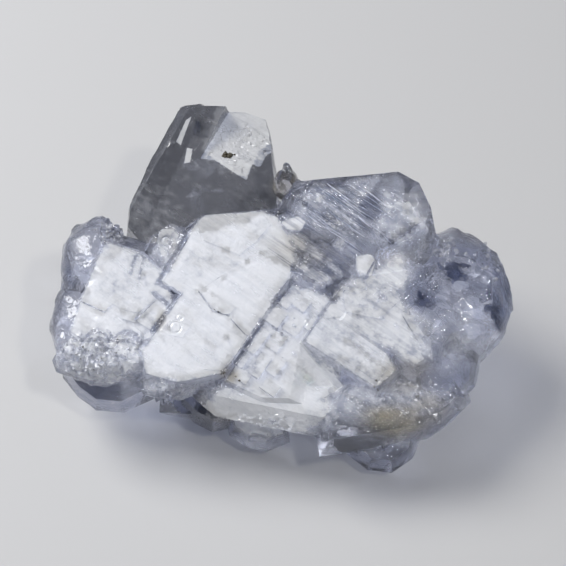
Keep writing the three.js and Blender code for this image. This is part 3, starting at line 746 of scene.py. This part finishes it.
def brokenWhiteGroup():
    # white: the given share, broken up by fine clouds; streak: dark strands across the long axis where lined;
    # dark: the given share of painted shade, broken into patches
    tree, given, out = newGroup("brokenWhite", {"White": 0.0, "Lined": 0.0, "Dark": 0.0},
                                ["White", "Streak", "Dark"])
    vector = axisVector(tree)
    cloud, strand, patch = [noiseNode(tree, vector, name) for name in ("cloud", "strand", "patch")]
    square = times(tree, given["White"], given["White"])
    strength = mathNode(tree, "SUBTRACT", brokenLook["none"],
                        times(tree, square, brokenLook["none"] - brokenLook["full"]))
    white = plus(tree, given["White"], times(tree, mathNode(tree, "SUBTRACT", cloud, 0.5), strength))
    tree.links.new(rangeNode(tree, white, *brokenLook["white"]), out["White"])
    streak = times(tree, rangeNode(tree, strand, *brokenLook["streak"]), given["Lined"])
    tree.links.new(streak, out["Streak"])
    uneven = times(tree, mathNode(tree, "SUBTRACT", patch, 0.5), brokenLook["patch"])
    broken = plus(tree, given["Dark"], uneven)
    dark = times(tree, rangeNode(tree, broken, *brokenLook["dark"]), given["Dark"])
    tree.links.new(mathNode(tree, "POWER", dark, brokenLook["darkPower"]), out["Dark"])
    return tree


brokenWhite = brokenWhiteGroup()
growthLines = growthLinesGroup()
veilMask = veilMaskGroup()

quartzIor = 1.545
stainColour = (0.34, 0.285, 0.17, 1)
bumpDepth = 0.06
shadowTint = (0.56, 0.58, 0.64, 1)
quartzMask = {"Low": 0.42, "High": 0.68}
maskShare = 0.25  # how far clouds of the mask bring the clear colour back
# Each finish: its colour where clear, where dark with painted shade or streaks, and where white, how much
# light goes through, how rough it is where clearest and cloudiest, and how strong its streaks, lines,
# terraces, grain, cones and bump are.
finishParts = ("clear", "dark", "white", "transmission", "rough", "streak", "lines", "terraces", "grain",
               "sparkle", "bump")
finishes = {
    "clearQuartz": ((0.55, 0.57, 0.67, 1), (0.14, 0.17, 0.28, 1), (0.92, 0.925, 0.95, 1),
                    1.0, (0.01, 0.08), 0.9, 0.8, 0.5, 0.5, 1.0, 1.0),
    "cloudyQuartz": ((0.37, 0.39, 0.47, 1), (0.15, 0.18, 0.27, 1), (0.90, 0.905, 0.93, 1),
                     0.75, (0.05, 0.25), 0.9, 0.9, 0.8, 0.8, 2.2, 1.0),
    "milkyQuartz": ((0.42, 0.445, 0.52, 1), (0.24, 0.27, 0.35, 1), (0.88, 0.885, 0.90, 1),
                    0.45, (0.1, 0.3), 0.45, 0.8, 1.2, 0.5, 0.5, 1.0),
    # A darker copy of the quartz for the tall crystal behind: painted shade, for the darker surroundings its
    # faces reflect.
    "shadedBackQuartz": ((0.17, 0.175, 0.20, 1), (0.06, 0.063, 0.075, 1), (0.46, 0.47, 0.50, 1),
                    0.7, (0.10, 0.32), 0.25, 0.5, 0.3, 0.6, 0.3, 0.7),
}


def newMaterial(name):
    material = bpy.data.materials.new(name)
    material.use_nodes = True
    return material, material.node_tree


def attributeNode(tree, name):
    return addNode(tree, "Attribute", {"attribute_name": name}).outputs["Fac"]


def groupNode(tree, group, **sockets):
    return addNode(tree, "Group", {"node_tree": group}, **sockets).outputs


def quartzMaterial(name):
    look = dict(zip(finishParts, finishes[name]))
    material, tree = newMaterial(name)
    tree.nodes.clear()
    lined = attributeNode(tree, "lined")
    mask = groupNode(tree, veilMask, **quartzMask)[0]
    broken = groupNode(tree, brokenWhite, White=attributeNode(tree, "white"), Lined=lined,
                       Dark=attributeNode(tree, "dark"))
    layers = [
        (broken["White"], look["white"]),
        (times(tree, broken["Streak"], look["streak"]), look["dark"]),
        # the painted shade, in each finish's dark colour
        (broken["Dark"], look["dark"]),
        (times(tree, mask, maskShare), look["clear"]),
        (attributeNode(tree, "stain"), stainColour),
    ]
    colour = look["clear"]
    for share, over in layers:
        mix = addNode(tree, "Mix", {"data_type": "RGBA"}, i0=share, i6=colour, i7=over)
        colour = mix.outputs[2]
    height = groupNode(tree, growthLines, Lines=times(tree, lined, look["lines"]),
                       Terraces=look["terraces"], Grain=look["grain"], Sparkle=look["sparkle"])[0]
    bump = addNode(tree, "Bump", Strength=look["bump"], Distance=bumpDepth * millimetre,
                   Height=height)
    quartz = addNode(tree, "BsdfPrincipled", IOR=quartzIor, Normal=bump.outputs[0],
                     Roughness=rangeNode(tree, mask, 0.0, 1.0, *look["rough"]))
    quartz.inputs["Base Color"].default_value = look["clear"]
    tree.links.new(colour, quartz.inputs["Base Color"])
    quartz.inputs["Transmission Weight"].default_value = look["transmission"]
    # rays that make shadows pass through, tinted
    passed = addNode(tree, "BsdfTransparent", Color=shadowTint)
    path = addNode(tree, "LightPath")
    mixed = addNode(tree, "MixShader", i0=path.outputs["Is Shadow Ray"], i1=quartz.outputs[0],
                    i2=passed.outputs[0])
    out = addNode(tree, "OutputMaterial")
    tree.links.new(mixed.outputs[0], out.inputs["Surface"])
    return material


sheetMask = {"Low": 0.36, "High": 0.5}


def plainMaterial(name, colour, roughness, fades=False):
    # one that fades shows as strongly as the attribute and the mask say
    material, tree = newMaterial(name)
    shader = tree.nodes["Principled BSDF"]
    shader.inputs["Base Color"].default_value = colour
    shader.inputs["Roughness"].default_value = roughness
    if fades:
        mask = groupNode(tree, veilMask, **sheetMask)[0]
        tree.links.new(times(tree, attributeNode(tree, "shown"), mask), shader.inputs["Alpha"])
    return material


def putPlain(name, plate, faces, look, shown=None):
    # a piece given in the plate frame, its material by name, colour and roughness
    material = plainMaterial(*look, fades=shown is not None)
    putMesh(name, fromPlate(plate), faces, [material], None if shown is None else {"shown": shown})
    return material


finishOrder = ["clearQuartz", "cloudyQuartz", "milkyQuartz", "shadedBackQuartz"]
finishLevels = {"cloudy": 0.3, "milky": 0.55, "edge": 0.22, "edgeSize": 1.3, "shadedBackDepth": -4.4,
                "behind": -0.6}
# The break lies below the tall crystal's front, within a margin of its outline.
chipReach = {"margin": 1.2, "top": -6.12, "facing": 0.05}


def faceFinish(points, faces, white):
    # by how white each face is, with an uneven border; the tall crystal behind takes the darker finish of
    # painted shade, its break milky
    plate = toPlate(points[faces].mean(1))
    flat = plate[:, :2]
    uneven = cloudNoise(plate, finishLevels["edgeSize"], 50, 4) - 0.5
    level = white[faces].mean(1) + finishLevels["edge"] * uneven
    slots = (level > finishLevels["cloudy"]).astype(int) + (level > finishLevels["milky"])
    behind = outlineDistance(flat, backOutline) > finishLevels["behind"]
    behind &= plate[:, 2] < finishLevels["shadedBackDepth"]
    slots = np.where(behind, finishOrder.index("shadedBackQuartz"), slots)
    front = behind & (unit(faceNormals(points, faces)) @ plateNormal > chipReach["facing"])
    broken = (outlineDistance(flat, chipOutline) > -chipReach["margin"]) & (plate[:, 2] < chipReach["top"])
    for outline in (thinFacet, smallStep, chipTip):
        broken |= outlineDistance(flat, outline) > 0
    return np.where(broken & front, finishOrder.index("milkyQuartz"), slots)


def makeBody():
    points, faces = mergedNode(bodyNode)
    points, faces = splitLongEdges(points, faces, longestEdge)
    roundPart = partShare(toPlate(points), roundParts, *bodyShape["roundFade"])
    grounded = smoothStep(*bodyShape["grounded"], points[:, 2])
    points = rounded(points, faces, roundPart * grounded)
    plate = toPlate(points)
    normals = vertexNormals(points, faces)
    white = whiteness(plate, normals @ plateNormal)
    height = bodyRelief(plate, normals, white, roundPart)
    points = np.clip(points + normals * (height * grounded)[:, None], boxLow, boxHigh)
    plate = toPlate(points)
    # the dark attribute carries the painted shade
    made = putMesh("quartzBody", points, faces, [quartzMaterial(name) for name in finishOrder],
                   {"white": white, "dark": paintedShade(plate), "stain": stain(plate),
                    "lined": lineShare(plate)},
                   faceFinish(points, faces, white), bodyShape["sharpAngle"])
    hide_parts(bodyNode)
    print("body", len(points), "vertices", len(faces), "faces")
    return points, faces, normals


bodyPoints, bodyFaces, bodyNormals = makeBody()

# The height of the front over a grid of the plate frame, low where it is open.
frontGrid = {"pitch": 0.4, "across": (-34.0, 34.0), "upward": (-25.0, 32.0), "open": -50.0, "fillTurns": 2,
             "facing": 0.3}
frontPoints = toPlate(bodyPoints)[bodyNormals @ plateNormal > frontGrid["facing"]]


def spread(heights, pick):
    # each grid value replaced by the highest, the lowest or the mean of itself and its neighbours
    wide = np.pad(heights, 1, constant_values=frontGrid["open"])
    rows, lines = heights.shape
    return pick([wide[i:i + rows, j:j + lines] for i in range(3) for j in range(3)], 0)


def frontHeights():
    # the highest front vertex of each cell, open cells filled from their neighbours
    across, upward = [np.arange(*frontGrid[key], frontGrid["pitch"]) for key in ("across", "upward")]
    column = ((frontPoints[:, 0] - across[0]) / frontGrid["pitch"]).round().astype(int)
    row = ((frontPoints[:, 1] - upward[0]) / frontGrid["pitch"]).round().astype(int)
    heights = np.full((len(across), len(upward)), frontGrid["open"])
    np.maximum.at(heights, (column, row), frontPoints[:, 2])
    for fill in range(frontGrid["fillTurns"]):
        heights = np.where(heights == frontGrid["open"], spread(heights, np.max), heights)
    return across, upward, heights


gridAcross, gridUpward, gridHeights = frontHeights()


def quadGrid(rows, lines, wrap=False):
    # the quads of a grid of points laid out row by row, closed round each row if asked
    index = np.arange(rows * lines).reshape(rows, lines)
    after = np.roll(index, -1, 1) if wrap else index[:, 1:]
    before = index if wrap else index[:, :-1]
    return np.stack([before[:-1], after[:-1], after[1:], before[1:]], 2).reshape(-1, 4)


def depthInside(points):
    # how far each point lies from the body's surface, in millimetres: below 0 outside the body
    surface = BVHTree.FromPolygons(bodyPoints.tolist(), bodyFaces.tolist())
    depths = np.zeros(len(points))
    for number, point in enumerate(points.tolist()):
        place, normal, face, away = surface.find_nearest(point)
        depths[number] = away if normal.dot(Vector(point) - place) < 0 else -away
    return depths


# White veils just under the flat faces, fading out towards the border of the front's grid and over the last
# stretch below the surface.
veilShape = {"depths": (0.35, 1.1, 2.1), "shares": (0.75, 0.6, 0.5), "lowest": -5.0, "wave": 0.5,
             "waveSize": 5, "fadeTurns": 4, "fadeFrom": 0.55, "margin": 0.08, "full": 0.28, "faintest": 0.02,
             "look": ("veilWhite", (0.93, 0.94, 0.97, 1), 0.7)}


def makeVeils():
    # each sheet follows the front, levelled to its lowest neighbours and sunk by its depth
    top = spread(spread(gridHeights, np.min), np.min)
    firm = top > veilShape["lowest"]
    inner = firm.astype(float)
    for turn in range(veilShape["fadeTurns"]):
        inner = spread(inner, np.mean)
    inner = smoothStep(veilShape["fadeFrom"], 1.0, inner).ravel()
    acrossGrid, upGrid = np.meshgrid(gridAcross, gridUpward, indexing="ij")
    quads = quadGrid(*top.shape)
    quads = quads[firm.ravel()[quads].all(1)]
    flat = columns(acrossGrid.ravel(), upGrid.ravel(), np.zeros(top.size))
    sheets, faces, shown = [], [], []
    for number, (depth, share) in enumerate(zip(veilShape["depths"], veilShape["shares"])):
        wave = np.abs(cloudNoise(flat, veilShape["waveSize"], 60 + number) - 0.5)
        sheet = flat + np.array([0, 0, 1]) * (top.ravel() - depth * (1 + veilShape["wave"] * wave))[:, None]
        sheets.append(sheet)
        faces.append(quads + number * top.size)
        shown.append(share * inner * whiteness(sheet, np.ones(len(sheet))))
    sheets, shown, faces = np.concatenate(sheets), np.concatenate(shown), np.concatenate(faces)
    faces = faces[shown[faces].max(1) > veilShape["faintest"]]
    # only where the body is thick enough to hold the sheet
    used = np.unique(faces)
    depths = np.zeros(len(sheets))
    depths[used] = depthInside(fromPlate(sheets[used]))
    faces = faces[depths[faces].min(1) > veilShape["margin"]]
    shown *= smoothStep(veilShape["margin"], veilShape["full"], depths)
    used, compact = np.unique(faces, return_inverse=True)
    putPlain("milkyVeils", sheets[used], compact.reshape(-1, 4), veilShape["look"], shown[used])
    print("veils", len(used), "vertices")


makeVeils()

# Thin planes inside the clear parts where cracks healed. Each host is an ellipsoid's middle and reach, how
# many planes it has, how large they are against it, and how strongly they show.
crackHosts = [
    ((23.6, -1, -5), (7.2, 9, 4.6), 26, 0.36, 0.75),
    ((27, 3, -3.6), (3.4, 3.6, 2), 16, 0.3, 0.85),
    ((-26.5, 4, -4.6), (4, 6.4, 3.6), 14, 0.45, 0.75),
    ((-28, -3.8, -4.4), (3.6, 5.4, 3), 9, 0.45, 0.75),
    ((13.5, -2, -3.4), (7, 6, 2.4), 9, 0.4, 0.5),
    ((9, 9, -3.4), (9, 6, 2.4), 9, 0.4, 0.5),
    ((14, -16, -4.6), (7.4, 3, 2.6), 8, 0.45, 0.55),
    ((-11, 18, -11), (7, 8, 3.6), 9, 0.4, 0.4),
    ((-24.6, -9, -9), (4.4, 2.8, 3.4), 6, 0.45, 0.55),
]
# Dark sheets of painted shade inside the clear parts, standing in for dark surroundings seen through the
# quartz.
paintedShadeHosts = [
    ((24.2, 3.4, -3.0), (2.8, 2.2, 1.2), 7, 0.9, 0.95),
    ((19.8, -1.2, -2.0), (2.4, 1.8, 1.0), 5, 0.8, 0.7),
    ((28.6, -2.2, -4.6), (2, 4.6, 2.2), 8, 0.6, 0.85),
    ((12.6, 11.6, -1.6), (1.8, 1.6, 0.9), 3, 0.9, 0.5),
    ((-28.6, 4, -5), (1.6, 4, 2.4), 4, 0.6, 0.5),
    ((-12.3, 26.8, -8), (1.1, 2, 0.8), 4, 0.9, 0.8),
]
rainbowHosts = [
    ((2.7, -13.0, -2.0), (2.2, 2.4, 0.3), 3, 0.9, 0.6),
]
# Each kind: its piece, hosts, seed, and its material's name, colour and roughness.
crackAndShadeKinds = [
    ("healedCracks", crackHosts, 3, ("crackSilver", (0.92, 0.93, 0.97, 1), 0.25)),
    # dark sheets of painted shade
    ("paintedShadePatches", paintedShadeHosts, 4, ("paintedShadeBlue", (0.10, 0.12, 0.20, 1), 0.3)),
    ("rainbowCracks", rainbowHosts, 6, ("rainbow", (0.75, 0.7, 0.75, 1), 0.25)),
]
rainbowColours = [(0.0, (0.85, 0.45, 0.50, 1)), (0.4, (0.88, 0.80, 0.45, 1)), (0.5, (0.45, 0.80, 0.55, 1)),
                  (0.6, (0.45, 0.62, 0.90, 1)), (1.0, (0.75, 0.50, 0.85, 1))]
wavedPlaneShape = {"rings": 6, "spokes": 12, "place": 0.6, "least": 0.45, "ragged": 0.5, "swell": 0.16,
              "waves": (5, 7, 6), "faintest": 0.5, "fadeFrom": 0.8}


def wavedPlanes(hosts, seed):
    # a plane is a waved disc: centre + r (a cos t A + b sin t B) + wave C, its rim pulled in unevenly
    random = np.random.default_rng(seed)
    rings, spokes = wavedPlaneShape["rings"], wavedPlaneShape["spokes"]
    firstWaves, secondWaves, phase = wavedPlaneShape["waves"]
    radius = np.linspace(0, 1, rings)[:, None]
    turn = np.linspace(0, 2 * np.pi, spokes, endpoint=False)[None]
    fade = smoothStep(1.0, wavedPlaneShape["fadeFrom"], np.broadcast_to(radius, (rings, spokes)).ravel())
    points, faces, shown = [], [], []
    for at, reach, count, size, strength in hosts:
        for number in range(count):
            place = random.normal(size=3)
            place *= wavedPlaneShape["place"] * random.random() ** (1 / 3) / np.linalg.norm(place)
            axes = np.linalg.qr(random.normal(size=(3, 3)))[0]
            sizes = size * random.uniform(wavedPlaneShape["least"], 1.0, 2)
            edge = 1 - wavedPlaneShape["ragged"] * random.random((1, spokes))
            first = (radius * np.cos(turn) * edge * sizes[0]).ravel()
            second = (radius * np.sin(turn) * edge * sizes[1]).ravel()
            wave = np.sin(firstWaves * first + secondWaves * second + phase * random.random())
            swell = wavedPlaneShape["swell"] * size * wave
            local = columns(first, second, swell) @ axes
            points.append(np.array(at) + np.array(reach) * (place + local))
            faces.append(quadGrid(rings, spokes, True) + len(faces) * rings * spokes)
            shown.append(strength * random.uniform(wavedPlaneShape["faintest"], 1.0) * fade)
    return np.concatenate(points), np.concatenate(faces), np.concatenate(shown)


def addRainbow(tree):
    noise = noiseNode(tree, axisVector(tree), "rainbow")
    node = addNode(tree, "ValToRGB", i0=noise)
    elements = node.color_ramp.elements
    for place, colour in rainbowColours[1:-1]:
        elements.new(place).color = colour
    elements[0].color = rainbowColours[0][1]
    elements[-1].color = rainbowColours[-1][1]
    tree.links.new(node.outputs[0], tree.nodes["Principled BSDF"].inputs["Base Color"])


def makeCracksAndShadeSheets():
    for piece, hosts, seed, look in crackAndShadeKinds:
        points, faces, shown = wavedPlanes(hosts, seed)
        material = putPlain(piece, points, faces, look, shown)
        if hosts is rainbowHosts:
            addRainbow(material.node_tree)
        print(piece, len(faces), "faces")


makeCracksAndShadeSheets()

# The faden thread: a bundle of fine white tubes that crosses the upper right crystal.
threadShape = {"count": 34, "middle": (9.2, 12.6), "spreadAlong": 2.6, "spreadAcross": 1.6,
               "length": (3.5, 8.0), "radius": (0.04, 0.11), "depth": (0.25, 1.0), "rings": 14, "sides": 6,
               "wave": 0.12, "halfWaves": (0.5, 1.5), "phase": 3, "level": -0.15, "sink": 0.3,
               "taper": (0.06, 0.88), "margin": 0.6,
               "look": ("threadWhite", (0.95, 0.95, 0.97, 1), 0.6)}


def ringPoints(first, second, sides):
    # the points cos t U + sin t V of a circle about each place
    turn = np.linspace(0, 2 * np.pi, sides, endpoint=False)
    return np.cos(turn)[None, :, None] * first[:, None] + np.sin(turn)[None, :, None] * second[:, None]


def tubeAlong(path, radius, sides):
    # rings of points round a path: path + r (cos t U + sin t V), closed by a fan at each end
    tangent = unit(np.gradient(path, axis=0))
    first = unit(np.cross(tangent, [0, 0, 1.0]))
    ring = ringPoints(first, np.cross(tangent, first), sides)
    points = (path[:, None] + radius[:, None, None] * ring).reshape(-1, 3)
    quads = quadGrid(len(path), sides, True)
    triangles = np.concatenate([quads[:, [0, 1, 2]], quads[:, [0, 2, 3]]])
    ends = []
    for base, tip, order in ((0, len(points), 1), (len(points) - sides, len(points) + 1, -1)):
        rim = base + np.arange(sides)
        ends.append(columns(np.full(sides, tip), np.roll(rim, -1), rim)[:, ::order])
    points = np.concatenate([points, path[[0, -1]]])
    return points, np.concatenate([triangles] + ends)


def makeThreads():
    random = np.random.default_rng(8)
    share = np.linspace(0, 1, threadShape["rings"])
    start, span = threadShape["taper"]
    points, faces, count = [], [], 0
    for number in range(threadShape["count"]):
        offset = (random.normal() * threadShape["spreadAlong"] * alongAxis
                  + random.normal() * threadShape["spreadAcross"] * acrossAxis)
        middle = np.array(threadShape["middle"]) + offset
        length = random.uniform(*threadShape["length"])
        run = (share[:, None] - 0.5) * length * acrossAxis
        turn = share * np.pi * random.uniform(*threadShape["halfWaves"])
        bend = threadShape["wave"] * np.sin(turn + threadShape["phase"] * random.random())
        flat = middle + run + bend[:, None] * alongAxis
        depth = random.uniform(*threadShape["depth"])
        height = threadShape["level"] - depth - threadShape["sink"] * bend
        path = np.concatenate([flat, height[:, None]], 1)
        radius = random.uniform(*threadShape["radius"]) * np.sin(np.pi * (start + span * share)) ** 0.5
        if outlineDistance(path[[0, -1], :2], upperRightOutline).min() > threadShape["margin"]:
            tube, sides = tubeAlong(path, radius, threadShape["sides"])
            points.append(tube)
            faces.append(sides + count)
            count += len(tube)
    putPlain("fadenThreads", np.concatenate(points), np.concatenate(faces), threadShape["look"])
    print("threads", len(points))


makeThreads()

# Small pointed crystals crowded on the rough parts.
drusyShape = {"count": 420, "radius": (0.10, 0.30), "length": (1.2, 2.4), "sunk": 0.5, "white": 0.8,
              "sides": 6, "lean": 0.45, "point": 1.1, "facing": -0.3, "lowest": 2, "fade": (1.0, 0.7)}


def makeDrusy():
    # each is a six-sided prism with a six-sided point, stood on a vertex of the body and leaned at random
    random = np.random.default_rng(12)
    count, sides = drusyShape["count"], drusyShape["sides"]
    places = [(at, reach, drusy) for at, reach, edge, broken, drusy in roughParts]
    rough = partShare(toPlate(bodyPoints), places, *drusyShape["fade"])
    rough *= (bodyNormals[:, 2] > drusyShape["facing"]) * (bodyPoints[:, 2] > drusyShape["lowest"])
    chosen = random.choice(len(rough), count, p=rough / rough.sum())
    radius = random.uniform(*drusyShape["radius"], count)
    length = radius * random.uniform(*drusyShape["length"], count)
    lean = unit(bodyNormals[chosen] + drusyShape["lean"] * random.normal(size=(count, 3)))
    side = unit(np.cross(lean, random.normal(size=lean.shape)))
    ring = ringPoints(side, np.cross(lean, side), sides) * radius[:, None, None]
    root = bodyPoints[chosen] - lean * (drusyShape["sunk"] * length)[:, None]
    low = root[:, None] + ring
    high = low + (lean * length[:, None])[:, None]
    tip = (root + lean * (length + drusyShape["point"] * radius)[:, None])[:, None]
    points = np.concatenate([low, high, tip, root[:, None]], 1)
    each = points.shape[1]
    now = np.arange(sides)
    after = (now + 1) % sides
    faces = np.concatenate([
        columns(now, after, after + sides), columns(now, after + sides, now + sides),
        columns(now + sides, after + sides, now * 0 + each - 2), columns(after, now, now * 0 + each - 1),
    ])
    inside = ((points > boxLow) & (points < boxHigh)).all((1, 2))
    faces = (faces[None] + each * np.arange(count)[:, None, None])[inside].reshape(-1, 3)
    used, compact = np.unique(faces, return_inverse=True)
    made = putMesh("drusyCrystals", points.reshape(-1, 3)[used], compact.reshape(-1, 3), [drusyMaterial],
                   {"white": np.full(len(used), drusyShape["white"])})
    made.data.polygons.foreach_set("use_smooth", np.zeros(len(made.data.polygons), bool))
    print("drusy crystals", int(inside.sum()))


drusyMaterial = quartzMaterial("cloudyQuartz")
makeDrusy()

# Dark specks caught in cracks, and one dark inclusion in the broken face: the ends of the line they follow,
# how many, their radius, and how far they stray.
speckLines = [
    ((12.2, -15.2), (15.4, -11.6), 16, (0.05, 0.14), 0.3),
    ((16.4, -15.2), (22.4, -13.0), 16, (0.05, 0.13), 0.25),
    ((-8.4, -12.2), (-6.4, -11.8), 10, (0.05, 0.15), 0.35),
    ((-8.2, 22.2), (-7.0, 22.6), 24, (0.2, 0.4), 0.16),
    ((-10.2, -0.9), (-8.2, -3.2), 7, (0.04, 0.09), 0.3),
    ((-28.5, -8.5), (-20, -8.5), 26, (0.05, 0.12), 1.4),
]
speckCorners = np.array([(1, 0, 0), (-1, 0, 0), (0, 1, 0), (0, -1, 0), (0, 0, 1), (0, 0, -1)], float)
speckFaces = np.array([(0, 2, 4), (2, 1, 4), (1, 3, 4), (3, 0, 4),
                       (2, 0, 5), (1, 2, 5), (3, 1, 5), (0, 3, 5)])
speckShape = {"reach": 0.6, "squash": (0.6, 1.4), "least": 0.8, "ragged": 0.4,
              "look": ("speckDark", (0.075, 0.065, 0.045, 1), 0.5)}


def makeSpecks():
    # eight-sided grains scattered along each line, each centred on the highest front vertex within reach
    random = np.random.default_rng(17)
    points, faces = [], []
    for start, end, count, reach, stray in speckLines:
        for number in range(count):
            flat = np.array(start) + (np.array(end) - start) * random.random() + stray * random.normal(size=2)
            near = frontPoints[np.linalg.norm(frontPoints[:, :2] - flat, axis=1) < speckShape["reach"]]
            if not len(near):
                continue
            radius = random.uniform(*reach) * random.uniform(*speckShape["squash"], 3)
            ragged = speckShape["least"] + speckShape["ragged"] * random.random((len(speckCorners), 1))
            points.append(near[near[:, 2].argmax()] + speckCorners * radius * ragged)
            faces.append(speckFaces + len(speckCorners) * len(faces))
    putPlain("darkSpecks", np.concatenate(points), np.concatenate(faces), speckShape["look"])
    print("specks", len(points))


makeSpecks()

stageLook = {"floorHalf": 1500.0, "floor": ("paleFloor", (0.54, 0.54, 0.55, 1), 0.75),
             "roomColour": (0.84, 0.86, 0.9, 1), "roomStrength": 0.2, "lampAim": (0, 0, 15)}


def makeFloor():
    half = stageLook["floorHalf"] * millimetre
    mesh = bpy.data.meshes.new("floor")
    mesh.from_pydata([(-half, -half, 0), (half, -half, 0), (half, half, 0), (-half, half, 0)], [],
                     [(0, 1, 2, 3)])
    mesh.materials.append(plainMaterial(*stageLook["floor"]))
    floor = addObject("floor", mesh)


# Each lamp: its name, its place and size in millimetres, its watts and its colour.
lamps = [
    ("overhead", (-300, 130, 460), 280, 3.0, (1, 1, 1)),
    ("leftFill", (-520, 160, 300), 220, 0.5, (0.9, 0.94, 1)),
    ("spark", (180, -260, 520), 40, 0.7, (1, 0.99, 0.96)),
]


def makeLamps():
    for name, at, size, power, colour in lamps:
        data = bpy.data.lights.new(name, "AREA")
        data.shape = "SQUARE"
        data.size = size * millimetre
        data.energy = power
        data.color = colour
        made = addObject(name, data)
        made.location = Vector(at) * millimetre
        aim = Vector(stageLook["lampAim"]) * millimetre - made.location
        made.rotation_euler = aim.to_track_quat("-Z", "Y").to_euler()


def makeWorld():
    world = bpy.data.worlds.new("softRoom")
    world.use_nodes = True
    background = world.node_tree.nodes["Background"].inputs
    background[0].default_value = stageLook["roomColour"]
    background[1].default_value = stageLook["roomStrength"]
    bpy.context.scene.world = world


cameraLook = {"elevation": 52.0, "distance": 260.0, "lens": 119.9, "sensor": 36.0, "right": 0.138,
              "up": 0.966, "near": 10, "far": 10000}


def makeCamera():
    # looks straight down its own back line, placed off the plate's middle by the framing
    rise = np.radians(cameraLook["elevation"])
    back = np.array([0, -np.cos(rise), np.sin(rise)])
    up = np.array([0, np.sin(rise), np.cos(rise)])
    place = plateOrigin + cameraLook["distance"] * back + cameraLook["up"] * up
    place = place + np.array([cameraLook["right"], 0, 0])
    data = bpy.data.cameras.new("camera")
    data.lens = cameraLook["lens"]
    data.sensor_width = cameraLook["sensor"]
    data.clip_start = cameraLook["near"] * millimetre
    data.clip_end = cameraLook["far"] * millimetre
    camera = addObject("camera", data)
    camera.location = Vector(place) * millimetre
    camera.rotation_euler = Euler((np.pi / 2 - rise, 0, 0))
    bpy.context.scene.camera = camera


makeFloor()
makeLamps()
makeWorld()
makeCamera()
bpy.context.scene.view_settings.view_transform = "Standard"
print("stage made")
